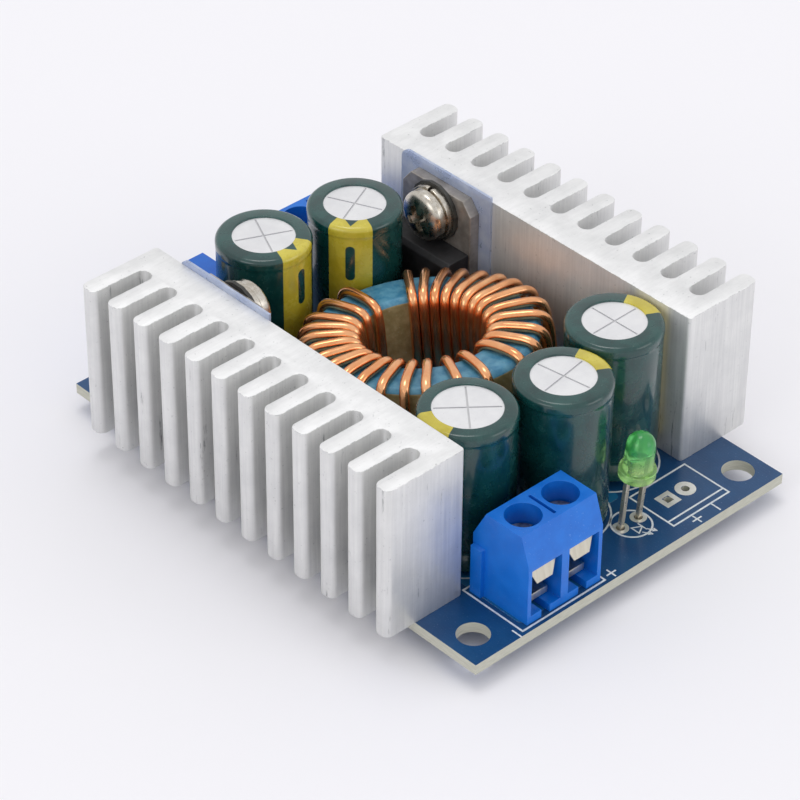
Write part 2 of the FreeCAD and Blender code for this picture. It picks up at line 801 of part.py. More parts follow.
def terminal_housing(name):
    body = new_body(name)
    half = dim.terminal_width / 2
    depth, top, shoulder = dim.terminal_depth, dim.terminal_height, dim.terminal_shoulder
    zero = as_size(0)
    profile = new_sketch(body, "YZ", -half)
    outline(profile, [
        (zero, zero), (depth, zero), (depth, shoulder), (depth - dim.terminal_back_slope, top),
        (dim.terminal_front_slope, top), (zero, shoulder),
    ])
    pad(body, profile, dim.terminal_width)
    rib_low = depth - dim.rib_width
    rib = new_sketch(body, "YZ", -half)
    rectangle(rib, rib_low - 0.2, depth - 0.2, zero, dim.rib_height)
    pad(body, rib, dim.rib_proud, backwards=True)
    groove = new_sketch(body, "YZ", half)
    play = dim.rib_clearance
    rectangle(groove, rib_low - 0.2 - play, depth - 0.2 + play, zero, dim.rib_height + play)
    pocket(body, groove, dim.rib_proud + play)
    mouths = new_sketch(body, "XZ")
    for x in pole_places():
        wide, narrow = dim.cavity_width / 2, dim.floor_slot_width / 2
        floor, ceiling = dim.cavity_floor, dim.cavity_ceiling
        outline(mouths, [
            (x - narrow, zero), (x + narrow, zero), (x + narrow, floor), (x + wide, floor),
            (x + wide, ceiling), (x - wide, ceiling), (x - wide, floor), (x - narrow, floor),
        ])
    pocket(body, mouths, dim.cavity_depth)
    wells = new_sketch(body, "XY", top)
    for x in pole_places():
        circle(wells, x, dim.well_setback, dim.well_diameter)
    pocket(body, wells, top - dim.cavity_ceiling + 0.4)
    divider = new_sketch(body, "XY", top)
    slot_half = dim.divider_slot_length / 2
    rectangle(divider, -dim.divider_slot_width / 2, dim.divider_slot_width / 2,
              dim.well_setback - slot_half, dim.well_setback + slot_half)
    pocket(body, divider, dim.divider_slot_depth)
    return body


def wire_clamp(name, x):
    """A folded strip: nut plate above, floor plate below and a pin through the board."""
    body = new_body(name)
    low = dim.cavity_floor + dim.clamp_lift
    plate, front, back = dim.clamp_plate, dim.clamp_front, dim.clamp_back
    top = dim.cavity_ceiling - dim.running_clearance * 2 - dim.guard_thickness
    profile = new_sketch(body, "YZ", x - dim.clamp_width / 2)
    outline(profile, [
        (front, low), (back, low), (back, top), (front, top), (front, top - plate),
        (back - plate, top - plate), (back - plate, low + plate), (front, low + plate),
    ])
    pad(body, profile, dim.clamp_width)
    hole = new_sketch(body, "XY", top)
    polygon(hole, x, dim.well_setback, dim.clamp_screw_shank + dim.running_clearance * 2, 16)
    pocket(body, hole, plate)
    pin = new_sketch(body, "XY", low)
    rectangle(pin, x - dim.pin_width / 2, x + dim.pin_width / 2,
              dim.well_setback - dim.pin_thickness / 2, dim.well_setback + dim.pin_thickness / 2)
    pad(body, pin, low + dim.board_thickness, backwards=True)
    return body


def wire_guard(name, x):
    """A thin tinned leaf that lies on the nut plate and hangs down inside the mouth."""
    body = new_body(name)
    thick = dim.guard_thickness
    top = dim.cavity_ceiling - dim.running_clearance
    low = top - thick
    setback, flare = dim.guard_setback, dim.guard_flare
    half, tip_half = dim.guard_width / 2, dim.guard_tip_width / 2
    profile = new_sketch(body, "YZ", x - half)
    outline(profile, [
        (setback, low), (dim.guard_back, low), (dim.guard_back, top), (setback - thick, top),
        (setback - thick - flare, top - dim.guard_drop), (setback - flare, top - dim.guard_drop),
    ])
    pad(body, profile, dim.guard_width)
    hole = new_sketch(body, "XY", top)
    polygon(hole, x, dim.well_setback, dim.clamp_screw_shank + dim.running_clearance * 4, 8)
    pocket(body, hole, thick)
    trims = new_sketch(body, "XZ")
    tip = top - dim.guard_drop
    for way in (-1, 1):
        outline(trims, [(x + half * way, low), (x + tip_half * way, tip), (x + tip_half * way, tip - 0.5),
                        (x + (half + 0.5) * way, tip - 0.5), (x + (half + 0.5) * way, low)])
    pocket(body, trims, setback)
    return body


def clamp_screw(name, x):
    body = new_body(name)
    profile = new_sketch(body, "XZ")
    zero = as_size(0)
    head, shank = dim.clamp_screw_head / 2, dim.clamp_screw_shank / 2
    seat = dim.cavity_ceiling
    top = seat + dim.clamp_screw_head_height
    tip = seat - dim.clamp_screw_reach
    outline(profile, [(zero, tip), (shank, tip), (shank, seat), (head, seat), (head, top), (zero, top)])
    revolve(body, profile)
    slot = new_sketch(body, "XY", top)
    rectangle(slot, -head - 0.2, head + 0.2, -dim.clamp_screw_slot / 2, dim.clamp_screw_slot / 2)
    pocket(body, slot, dim.clamp_screw_head_height * 0.45)
    return body


front_block_y = front_edge + dim.terminal_front_inset
back_block_y = back_edge - dim.terminal_back_inset
for place_name, turn in (("front", 1), ("back", -1)):
    block_x = -dim.terminal_shift * turn
    block_y = front_block_y if turn > 0 else back_block_y
    block_turn = Rotation(Vector(0, 0, 1), 0 if turn > 0 else 180)
    housing = terminal_housing(place_name + "_terminal_housing")
    housing.Placement = Placement(Vector(), block_turn)
    put(housing, block_x, block_y, board_top)
    for number, x in enumerate(pole_places(), start=1):
        label = "%s_wire_clamp_%d" % (place_name, number)
        guard_label = "%s_wire_guard_%d" % (place_name, number)
        for body in (wire_clamp(label, x), wire_guard(guard_label, x)):
            body.Placement = Placement(Vector(), block_turn)
            put(body, block_x, block_y, board_top)
        screw = clamp_screw("%s_clamp_screw_%d" % (place_name, number), x)
        put(screw, block_x + x * turn, block_y + dim.well_setback * turn, board_top)
        solder(block_x + x * turn, block_y + dim.well_setback * turn,
               leg_across(dim.pin_width, dim.pin_thickness))

# Lamp: a 3 mm green lens on two long leads, leaning a little to the front
lamp_y = front_edge + dim.lamp_inset
lens = new_body("lamp_lens")
lens_profile = new_sketch(lens, "XZ")
zero = as_size(0)
rim, lens_radius = dim.lamp_flange_diameter / 2, dim.lamp_lens_diameter / 2
dome_base = dim.lamp_height - lens_radius
outline(lens_profile, [
    (zero, zero), (rim, zero), (rim, dim.lamp_flange_thickness), (lens_radius, dim.lamp_flange_thickness),
    (lens_radius, dome_base, zero, dome_base, "left"), (zero, dim.lamp_height),
])
revolve(lens, lens_profile)
lean = math.radians(float(dim.lamp_lean))
lens.Placement = Placement(Vector(), Rotation(Vector(1, 0, 0), float(dim.lamp_lean)))
put(lens, dim.lamp_across, lamp_y - dim.lamp_foot * math.sin(lean), board_top + dim.lamp_foot)
lamp_bars = []
for way in (-1, 1):
    foot_x = float(dim.lamp_across + dim.lamp_lead_pitch * (way / 2))
    foot_y = float(lamp_y)
    top_y = foot_y - float(dim.lamp_foot) * math.sin(lean)
    points = [
        Vector(foot_x, foot_y, joint_level),
        Vector(foot_x, foot_y, float(board_top)),
        Vector(foot_x, top_y, float(board_top + dim.lamp_foot)),
    ]
    bar = doc.addObject("Part::Feature", "lamp_lead")
    bar.Shape = mitred_tube(points, float(dim.lamp_lead_width), 4, Vector(1, 0, 0))
    lamp_bars.append(bar)
    solder(dim.lamp_across + dim.lamp_lead_pitch * (way / 2), lamp_y,
           leg_across(dim.lamp_lead_width, dim.lamp_lead_width))
group("lamp_leads", lamp_bars)

# Trimmer: a moulded box with a brass adjusting screw in its top and three pins below
trimmer_y = front_edge + trimmer_reach
trimmer_top = dim.trimmer_foot + dim.trimmer_height
trimmer_screw_x = dim.trimmer_screw_inset - dim.trimmer_width / 2
trimmer = new_body("trimmer_body")
box = new_sketch(trimmer, "XY", dim.trimmer_foot)
rectangle(box, -dim.trimmer_width / 2, dim.trimmer_width / 2, -dim.trimmer_depth / 2, dim.trimmer_depth / 2)
pad(trimmer, box, dim.trimmer_height)
feet = new_sketch(trimmer, "XY", dim.trimmer_foot)
for way in (-1, 1):
    near = dim.trimmer_width / 2 * way
    rectangle(feet, near - 0.8 * way, near, -dim.trimmer_depth / 2, dim.trimmer_depth / 2)
pad(trimmer, feet, dim.trimmer_foot, backwards=True)
socket = new_sketch(trimmer, "XY", trimmer_top)
circle(socket, trimmer_screw_x, 0, dim.trimmer_screw_diameter + dim.running_clearance * 2)
pocket(trimmer, socket, dim.trimmer_screw_depth)
put(trimmer, dim.trimmer_across, trimmer_y, board_top)

adjuster = new_body("trimmer_screw")
disc = new_sketch(adjuster, "XY", trimmer_top - dim.trimmer_screw_depth + 0.05)
circle(disc, 0, 0, dim.trimmer_screw_diameter)
pad(adjuster, disc, dim.trimmer_screw_depth - 0.05 + dim.trimmer_screw_proud)
slot = new_sketch(adjuster, "XY", trimmer_top + dim.trimmer_screw_proud)
rectangle(slot, -dim.trimmer_screw_diameter * 0.6, dim.trimmer_screw_diameter * 0.6,
          -dim.trimmer_screw_slot / 2, dim.trimmer_screw_slot / 2)
pocket(adjuster, slot, dim.trimmer_screw_proud * 0.8)
put(adjuster, dim.trimmer_across + trimmer_screw_x, trimmer_y, board_top)

trimmer_pins = []
for number in (-1, 0, 1):
    pin_x = dim.trimmer_across + dim.trimmer_pin_pitch * number
    pin = doc.addObject("Part::Box", "trimmer_pin")
    bind(pin, "Length", dim.trimmer_pin_width)
    bind(pin, "Width", dim.trimmer_pin_width)
    bind(pin, "Height", dim.trimmer_foot + dim.board_thickness)
    put(pin, pin_x - dim.trimmer_pin_width / 2, trimmer_y - dim.trimmer_pin_width / 2, dim.joint_height)
    solder(pin_x, trimmer_y, leg_across(dim.trimmer_pin_width, dim.trimmer_pin_width))
    trimmer_pins.append(pin)
group("trimmer_pins", trimmer_pins)

# Circuit board: corner holes for screws, one hole for each lead and two left empty
blank = new_body("board_blank")
sheet_outline = new_sketch(blank, "XY")
rectangle(sheet_outline, -dim.board_width / 2, dim.board_width / 2, front_edge, back_edge)
pad(blank, sheet_outline, dim.board_thickness)
holes = new_sketch(blank, "XY", dim.board_thickness)
corner_x = dim.board_width / 2 - dim.corner_hole_side_inset
corner_y = board_length / 2 - dim.corner_hole_end_inset
for across in (-1, 1):
    for along in (-1, 1):
        circle(holes, corner_x * across, corner_y * along, dim.corner_hole_diameter)
pocket(blank, holes, dim.board_thickness)
put(blank, 0, 0, dim.joint_height)
del pieces["board_blank"]


def drill(x, y, width):
    bit = doc.addObject("Part::Prism", "drill")
    bit.Polygon = 6
    bind(bit, "Circumradius", width / 2 / math.cos(math.pi / 6))
    bind(bit, "Height", dim.board_thickness + 2)
    put(bit, x, y, dim.joint_height - 1)
    return bit


drills = [drill(x, y, width + dim.lead_hole_clearance * 2) for x, y, width in lead_ends]
for way in (-1, 1):
    header_x = dim.header_across + dim.header_pitch * (way / 2)
    drills.append(drill(header_x, front_edge + dim.header_inset, dim.header_hole_diameter))
all_drills = doc.addObject("Part::Compound", "all_drills")
all_drills.Links = drills
board = doc.addObject("Part::Cut", "circuit_board")
board.Label = "circuit_board"
board.Base = blank
board.Tool = all_drills
pieces["circuit_board"] = board

# Solder joints: each clipped lead ends in a small mound of solder, on which the module stands
def hexagon(x, y, z, width):
    """The corners of a level hexagon."""
    turns = [math.radians(60 * number) for number in range(6)]
    return [Vector(x + width / 2 * math.cos(a), y + width / 2 * math.sin(a), z) for a in turns]


mounds = []
for x, y, width in lead_ends:
    tip = hexagon(float(x), float(y), 0, float(dim.joint_tip_width))
    foot = hexagon(float(x), float(y), float(dim.joint_height), float(dim.joint_foot_width))
    mounds.append(flat_sided([tip, foot]))
solder_joints = doc.addObject("Part::Feature", "solder_joints")
solder_joints.Label = "solder_joints"
solder_joints.Shape = Part.makeCompound(mounds)
pieces["solder_joints"] = solder_joints

doc.recompute()

for thing in doc.Objects:
    if "Invalid" in thing.State or "Error" in thing.State:
        raise RuntimeError("%s was not built: %s" % (thing.Label, thing.State))
for name, piece in pieces.items():
    if piece.Shape.isNull() or not piece.Shape.isValid():
        raise RuntimeError("%s has no valid shape" % name)

os.makedirs("parts", exist_ok=True)
for name, piece in pieces.items():
    piece.Shape.exportStep("parts/%s.step" % name)
    print("%-28s %2d solids %9.2f mm3" % (name, len(piece.Shape.Solids), piece.Shape.Volume))
print("board %.2f x %.2f mm" % (float(dim.board_width), float(board_length)))
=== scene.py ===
import math

import bmesh
import bpy
from mathutils import Matrix, Quaternion, Vector


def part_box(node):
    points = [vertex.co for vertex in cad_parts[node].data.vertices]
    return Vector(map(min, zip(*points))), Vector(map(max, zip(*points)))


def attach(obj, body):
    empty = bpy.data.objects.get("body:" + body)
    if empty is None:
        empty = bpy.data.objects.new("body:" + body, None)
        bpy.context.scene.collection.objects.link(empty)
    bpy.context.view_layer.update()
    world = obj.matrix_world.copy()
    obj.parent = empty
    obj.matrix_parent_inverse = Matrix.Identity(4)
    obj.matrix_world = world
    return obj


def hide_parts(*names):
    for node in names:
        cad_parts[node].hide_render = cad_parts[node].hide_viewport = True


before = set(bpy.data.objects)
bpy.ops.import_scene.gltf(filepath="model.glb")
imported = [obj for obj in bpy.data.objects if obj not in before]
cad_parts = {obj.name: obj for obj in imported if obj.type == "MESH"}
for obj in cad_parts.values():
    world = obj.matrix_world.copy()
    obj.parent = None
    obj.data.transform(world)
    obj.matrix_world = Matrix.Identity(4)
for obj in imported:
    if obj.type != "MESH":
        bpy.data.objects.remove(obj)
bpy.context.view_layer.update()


# Camera: it stands to the front left of the module, above it, and sees it through a long lens,
# so that the board's edges stay nearly parallel.
mm = 0.001
camera_place = Vector((-193.74, -202.7, 218.98)) * mm
camera_target = Vector((-4.8, -1.52, 10.0)) * mm
camera_roll = math.radians(0.44)
camera = bpy.data.objects.new("camera", bpy.data.cameras.new("camera"))
bpy.context.scene.collection.objects.link(camera)
camera_turn = (camera_target - camera_place).to_track_quat("-Z", "Y") @ Quaternion((0, 0, 1), camera_roll)
camera.matrix_world = Matrix.Translation(camera_place) @ camera_turn.to_matrix().to_4x4()
camera.data.lens = 155.3
camera.data.sensor_width = 36
camera.data.clip_start = 0.01
bpy.context.scene.camera = camera


# Studio: a pale table top under a wide soft box, with dimmer ones at the left and in front.
# What mirrors in the bright metal is the same pale room.
def colour(red, green, blue):
    """A screen colour, 0 to 255, as the renderer counts it."""
    parts = [part / 255 for part in (red, green, blue)]
    return tuple(p / 12.92 if p < 0.04045 else ((p + 0.055) / 1.055) ** 2.4 for p in parts) + (1.0,)


def connect(tree, socket, source):
    if isinstance(source, bpy.types.NodeSocket):
        tree.links.new(source, socket)
    else:
        socket.default_value = source


def feed(tree, node, **inputs):
    """Gives each named input of a node a value or another node's output."""
    for name, source in inputs.items():
        connect(tree, node.inputs[name.replace("_", " ")], source)


def new_material(name, **sockets):
    """A material with one Principled shader, ready for its pattern."""
    material = bpy.data.materials.new(name)
    material.use_nodes = True
    tree = material.node_tree
    shader = tree.nodes["Principled BSDF"]
    feed(tree, shader, **sockets)
    return material, tree, shader


def piece(name, shape, material, slot, body="module", crease=40):
    """Turns a finished bmesh into an object that moves with a body of the frame."""
    mesh = bpy.data.meshes.new(name)
    shape.to_mesh(mesh)
    shape.free()
    mesh.polygons.foreach_set("use_smooth", [True] * len(mesh.polygons))
    mesh.set_sharp_from_angle(angle=math.radians(crease))
    mesh.materials.append(material)
    made = bpy.data.objects.new(name, mesh)
    bpy.context.scene.collection.objects.link(made)
    if slot:
        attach(made, body)
    return made


table_paint = new_material("table_paint", Base_Color=colour(243, 242, 247), Roughness=0.9)[0]
table_top = bmesh.new()
bmesh.ops.create_grid(table_top, x_segments=1, y_segments=1, size=3)
table = piece("table", table_top, table_paint, None)

world = bpy.data.worlds.new("room")
bpy.context.scene.world = world
world.use_nodes = True
room_light = world.node_tree.nodes["Background"]
feed(world.node_tree, room_light, Color=colour(250, 250, 250), Strength=0.86)


def soft_box(name, place, width, height, power, tint=(1.0, 1.0, 1.0)):
    """A rectangular lamp that faces the middle of the board."""
    lamp = bpy.data.lights.new(name, "AREA")
    lamp.shape = "RECTANGLE"
    lamp.size = width
    lamp.size_y = height
    lamp.energy = power
    lamp.color = tint
    holder = bpy.data.objects.new(name, lamp)
    bpy.context.scene.collection.objects.link(holder)
    holder.location = place
    holder.rotation_euler = (-Vector(place)).to_track_quat("-Z", "Y").to_euler()


soft_box("soft_box_above", (0.05, 0.16, 0.88), 0.36, 0.3, 1.25, tint=(1.0, 0.995, 0.99))
soft_box("soft_box_left", (-0.75, -0.1, 0.42), 0.4, 0.3, 0.6)
soft_box("soft_box_front", (0.36, -0.76, 0.36), 0.5, 0.4, 0.8)
bpy.context.scene.view_settings.view_transform = "Standard"


# Circuit board: glass-fibre sheet with a blue lacquer on both sides and cream sawn edges. The
# copper under the lacquer shows as paler fields, and the leads' holes have bare tinned rims.
def add_node(tree, kind, **inputs):
    made = tree.nodes.new("ShaderNode" + kind)
    feed(tree, made, **inputs)
    return made


def texture_place(tree):
    return add_node(tree, "TexCoord").outputs["Object"]


def stretched(tree, place, x, y, z):
    return add_node(tree, "Mapping", Vector=place, Scale=(x, y, z)).outputs["Vector"]


def noise(tree, place, scale, detail=3.0, roughness=0.5):
    made = add_node(tree, "TexNoise", Vector=place, Scale=scale, Detail=detail, Roughness=roughness)
    return made.outputs["Fac"]


def in_range(tree, value, low, high, to_low=0.0, to_high=1.0):
    made = add_node(tree, "MapRange", Value=value, From_Min=low, From_Max=high, To_Min=to_low, To_Max=to_high)
    return made.outputs["Result"]


def mixed(tree, factor, first, second):
    """Two colours mixed. A colour mix keeps them in its sockets 6 and 7."""
    mix = tree.nodes.new("ShaderNodeMix")
    mix.data_type = "RGBA"
    connect(tree, mix.inputs[0], factor)
    connect(tree, mix.inputs[6], first)
    connect(tree, mix.inputs[7], second)
    return mix.outputs[2]


def arithmetic(tree, operation, first, second=0.0):
    made = tree.nodes.new("ShaderNodeMath")
    made.operation = operation
    connect(tree, made.inputs[0], first)
    connect(tree, made.inputs[1], second)
    return made.outputs[0]


def product(tree, first, second):
    return arithmetic(tree, "MULTIPLY", first, second)


def bumped(tree, shader, height, distance, strength=1.0):
    bump = add_node(tree, "Bump", Height=height, Distance=distance, Strength=strength)
    feed(tree, shader, Normal=bump.outputs["Normal"])


def level_faces(tree, low, high):
    """1 on faces that lie flat and 0 on upright ones."""
    normal = add_node(tree, "SeparateXYZ", Vector=add_node(tree, "NewGeometry").outputs["True Normal"])
    return in_range(tree, arithmetic(tree, "ABSOLUTE", normal.outputs["Z"]), low, high)


def new_group(name, inputs, outputs):
    """An empty shader group, with the sockets inside it that its nodes read and fill."""
    group = bpy.data.node_groups.new(name, "ShaderNodeTree")
    for socket, kind in inputs.items():
        group.interface.new_socket(socket, in_out="INPUT", socket_type=kind)
    for socket in outputs:
        group.interface.new_socket(socket, in_out="OUTPUT", socket_type="NodeSocketFloat")
    return group, group.nodes.new("NodeGroupInput").outputs, group.nodes.new("NodeGroupOutput")


def group_in(tree, group, **inputs):
    """Places a group in a material and gives its outputs."""
    made = tree.nodes.new("ShaderNodeGroup")
    made.node_tree = group
    feed(tree, made, **inputs)
    return made.outputs


def handling_marks_group():
    """Faint blotches and fine specks, as fingers and dust leave on a surface."""
    kinds = {"Place": "NodeSocketVector", "Blotch Scale": "NodeSocketFloat", "Speck Scale": "NodeSocketFloat"}
    group, given, end = new_group("handling_marks", kinds, ("Blotches", "Specks"))
    blotches = noise(group, given["Place"], given["Blotch Scale"], 5.0, 0.6)
    specks = noise(group, given["Place"], given["Speck Scale"], 2.0, 0.7)
    feed(group, end, Blotches=in_range(group, blotches, 0.38, 0.66),
         Specks=in_range(group, specks, 0.66, 0.74))
    return group


handling_marks = handling_marks_group()


def marks_on(tree, place, blotch_scale, speck_scale=5000.0):
    made = group_in(tree, handling_marks, Place=place, Blotch_Scale=blotch_scale, Speck_Scale=speck_scale)
    return made["Blotches"], made["Specks"]


def dress(node_name, material):
    """Gives a solid of the frame its finish."""
    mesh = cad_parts[node_name].data
    mesh.materials.clear()
    mesh.materials.append(material)


def lacquer(name, deep, pale):
    """Blue solder resist over a weave that barely shows; the sawn edges drift through the fibre from cream to
    a greyer cream, and that greyer end is painted shade for the walls of the leads' holes.
    """
    material, tree, shader = new_material(
        name, Specular_IOR_Level=0.45, Coat_Weight=0.1, Coat_Roughness=0.12)
    place = texture_place(tree)
    blotches, specks = marks_on(tree, place, 260.0, 5200.0)
    face = mixed(tree, in_range(tree, blotches, 0.0, 1.0, 0.0, 0.45), deep, pale)
    face = mixed(tree, product(tree, specks, 0.25), face, colour(160, 185, 215))
    flat = level_faces(tree, 0.4, 0.6)
    fibre = noise(tree, stretched(tree, place, 900, 900, 9000), 1.0)
    # The greyer end of the sawn edges' tone is painted shade, set for the walls of the leads' holes; the
    # cream is the fibre's own colour.
    edge = mixed(tree, fibre, colour(166, 166, 150), colour(214, 213, 202))
    feed(tree, shader, Base_Color=mixed(tree, flat, edge, face),
         Roughness=in_range(tree, flat, 0.0, 1.0, 0.75, 0.3))
    weave = add_node(tree, "TexWave", Vector=place, Scale=900.0, Distortion=0.4).outputs["Fac"]
    bumped(tree, shader, product(tree, weave, flat), 4e-6, 0.5)
    return material


def blotched(name, scale, tones, gloss, **sockets):
    """A finish that drifts in faint blotches from one tone and roughness to the other."""
    material, tree, shader = new_material(name, Base_Color=tones[0], Roughness=gloss[0], **sockets)
    blotches = marks_on(tree, texture_place(tree), scale)[0]
    if len(tones) > 1:
        feed(tree, shader, Base_Color=mixed(tree, blotches, *tones))
    if len(gloss) > 1:
        feed(tree, shader, Roughness=in_range(tree, blotches, 0.0, 1.0, *gloss))
    return material


def islands(node_name):
    """The box of each separate solid in a node, as (lowest corner, highest corner)."""
    shape = bmesh.new()
    shape.from_mesh(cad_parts[node_name].data)
    bmesh.ops.remove_doubles(shape, verts=shape.verts, dist=1e-7)
    found, seen = [], set()
    for first in shape.verts:
        if first in seen:
            continue
        seen.add(first)
        reached, waiting = [first], [first]
        while waiting:
            for edge in waiting.pop().link_edges:
                for vertex in edge.verts:
                    if vertex not in seen:
                        seen.add(vertex)
                        waiting.append(vertex)
                        reached.append(vertex)
        corners = [vertex.co for vertex in reached]
        found.append((Vector(map(min, zip(*corners))), Vector(map(max, zip(*corners)))))
    shape.free()
    return found


def spun(shape, centre, profile, steps, closed=False, start=0):
    """Adds (radius, height) points in metres, turned about the upright line through a centre."""
    outward = Matrix.Rotation(math.radians(start), 3, "Z")
    points = [shape.verts.new(centre + outward @ Vector((r, 0, z))) for r, z in profile]
    ends = points[1:] + points[:1] if closed else points[1:]
    edges = [shape.edges.new(pair) for pair in zip(points, ends)]
    bmesh.ops.spin(shape, geom=points + edges, cent=centre, axis=(0, 0, 1), angle=2 * math.pi,
                   steps=steps, use_merge=True)


def ring(shape, centre, inner, outer, low, high, steps, start=0):
    """Adds a flat ring. In four steps it is square."""
    profile = [(inner, low), (inner, high), (outer, high), (outer, low)]
    spun(shape, centre, profile, steps, closed=True, start=start)


dress("circuit_board", lacquer("board_lacquer", colour(18, 66, 112), colour(28, 84, 132)))
board_low, board_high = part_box("circuit_board")
board_levels = (board_high.z, board_low.z)
tin = blotched("tinned_pad", 700.0, (colour(222, 220, 212), colour(240, 239, 234)), (0.28, 0.36),
               Metallic=0.4)
rim_rise = 0.02 * mm
hole_radius, rim_radius = 0.45 * mm, 0.88 * mm
header_middle = Vector((11.25, -24.98)) * mm
header_pitch = 2.54 * mm
round_pad = (0.45 * mm, 1.1 * mm, 24, 0)
square_pad = (0.62 * mm, 1.4 * mm, 4, 45)
joint_boxes = islands("solder_joints")
rims = bmesh.new()
for low, high in joint_boxes:
    for level in board_levels:
        centre = Vector((*((low + high) / 2).xy, level))
        ring(rims, centre, hole_radius, rim_radius, -rim_rise, rim_rise, 24)
for level in board_levels:
    for side, (inner, outer, steps, start) in ((1, round_pad), (-1, square_pad)):
        centre = Vector((header_middle.x + side * header_pitch / 2, header_middle.y, level))
        ring(rims, centre, inner, outer, -rim_rise, rim_rise, steps, start)
bmesh.ops.recalc_face_normals(rims, faces=rims.faces)
piece("board_pad_rims", rims, tin, "solder")


# Copper fields: broad pours join the power parts, above and below, and stand a hair proud of
# the board under the same lacquer.
def slab(shape, low, high):
    """Adds a rectangular block between its lowest and its highest corner."""
    size = Matrix.Diagonal((*(high - low), 1))
    bmesh.ops.create_cube(shape, size=1, matrix=Matrix.Translation((low + high) / 2) @ size)


field_rise = 0.012 * mm
field_corner = 0.6 * mm
# Each field's left, right, front and back edge.
field_sides = (
    (-14.8, -1.0, 4.0, 20.0), (0.6, 14.8, 5.0, 22.5), (-14.8, 14.8, -12.5, 3.2),
    (-14.2, -3.5, -28.6, -13.6), (-2.6, 6.8, -21.5, -13.2), (3.0, 14.5, 23.4, 29.3),
    (-16.5, -4.4, 21.2, 29.3),
)
fields = bmesh.new()
for left, right, front, back in field_sides:
    for level in board_levels:
        slab(fields, Vector((left * mm, front * mm, level - field_rise)),
             Vector((right * mm, back * mm, level + field_rise)))
upright = [e for e in fields.edges if abs(e.verts[0].co.z - e.verts[1].co.z) > field_rise]
bmesh.ops.bevel(fields, geom=upright, offset=field_corner, segments=4, profile=0.5, affect="EDGES",
                material=-1)
copper_field_lacquer = lacquer("copper_field_lacquer", colour(24, 100, 150), colour(38, 120, 170))
piece("board_copper_fields", fields, copper_field_lacquer, "board")


# Printed marks: thin white ink lines on the board round each part, with plain signs for the
# poles of the terminals and of the empty fan header, and the sign of a diode by the lamp.
ink = blotched("white_ink", 2200.0, (colour(206, 214, 222), colour(238, 240, 240)), (0.6,))
ink_low, ink_high = board_high.z + 0.004 * mm, board_high.z + 0.03 * mm
ink_step, ink_layers = 0.0005 * mm, 24
line_width, pole_stroke, diode_stroke = 0.2 * mm, 0.17 * mm, 0.14 * mm
side_margin, end_margin = 0.35, 0.3
lamp_ring, can_ring = 2.1, 5.3
marks = bmesh.new()


def ink_line(start, end, width=line_width):
    """A straight line of ink, a hair lower than the line before it, so that no two tops meet."""
    start, end = Vector(start) * mm, Vector(end) * mm
    along = end - start
    top = ink_high - ink_step * (len(marks.verts) // 8 % ink_layers)
    turn = Matrix.Rotation(math.atan2(along.y, along.x), 4, "Z")
    size = Matrix.Diagonal((along.length + width, width, top - ink_low, 1))
    middle = Vector((*((start + end) / 2), (ink_low + top) / 2))
    bmesh.ops.create_cube(marks, size=1, matrix=Matrix.Translation(middle) @ turn @ size)


def ink_frame(left, right, front, back):
    corners = [(left, front), (right, front), (right, back), (left, back)]
    for corner, after in zip(corners, corners[1:] + corners[:1]):
        ink_line(corner, after)


def ink_ring(x, y, radius):
    inner, outer = radius * mm - line_width / 2, radius * mm + line_width / 2
    ring(marks, Vector((x * mm, y * mm, 0)), inner, outer, ink_low, ink_high, 40)


def ink_sign(x, y, plus):
    half = 0.55
    ink_line((x, y - half), (x, y + half), pole_stroke)
    if plus:
        ink_line((x - half, y), (x + half, y), pole_stroke)


for node_name in ("front_terminal_housing", "back_terminal_housing", "trimmer_body"):
    low, high = (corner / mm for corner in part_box(node_name))
    ink_frame(low.x - side_margin, high.x + side_margin, low.y - end_margin, high.y + end_margin)
leads_low, leads_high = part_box("lamp_leads")
lamp_middle = (leads_low + leads_high).xy / 2 / mm
ink_ring(*lamp_middle, lamp_ring)
# The diode's triangle, its bar and two arrows, as lines from the lamp's middle.
diode_sign = (
    ((-0.5, -0.45), (-0.5, -1.55)), ((-0.5, -0.45), (0.5, -1.0)), ((-0.5, -1.55), (0.5, -1.0)),
    ((0.5, -0.45), (0.5, -1.55)),
    ((-0.1, -1.7), (0.4, -2.5)), ((0.4, -2.5), (0.42, -2.1)), ((0.4, -2.5), (0.08, -2.3)),
    ((0.6, -1.6), (1.1, -2.4)), ((1.1, -2.4), (1.12, -2.0)), ((1.1, -2.4), (0.78, -2.2)),
)
for start, end in diode_sign:
    ink_line(lamp_middle + Vector(start), lamp_middle + Vector(end), diode_stroke)
header_left, header_right, header_front, header_wall, header_back = 7.35, 15.35, -28.3, -27.5, -22.2
ink_frame(header_left, header_right, header_front, header_back)
ink_line((header_left, header_wall), (header_right, header_wall))
pole_signs = ((-15.45, -29.35, False), (-2.4, -29.15, True), (9.85, -29.1, True), (12.65, -29.05, False),
              (2.4, 29.1, False), (15.4, 29.1, True))
for x, y, plus in pole_signs:
    ink_sign(x, y, plus)
for name in ("front_left", "front_middle", "front_right", "back_left", "back_right"):
    low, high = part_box(name + "_capacitor")
    ink_ring(*((low + high).xy / 2 / mm), can_ring)
bmesh.ops.recalc_face_normals(marks, faces=marks.faces)
piece("board_printed_marks", marks, ink, "board")


# Solder joints: under the board each lead is clipped short and stands in a bright fillet of
# solder that spreads over its tinned rim.
def solder_metal():
    material, tree, shader = new_material("solder", Base_Color=colour(196, 198, 200), Metallic=1.0)
    blotches = marks_on(tree, texture_place(tree), 1800.0)[0]
    feed(tree, shader, Roughness=in_range(tree, blotches, 0.0, 1.0, 0.16, 0.42))
    bumped(tree, shader, blotches, 6e-6, 0.6)
    return material


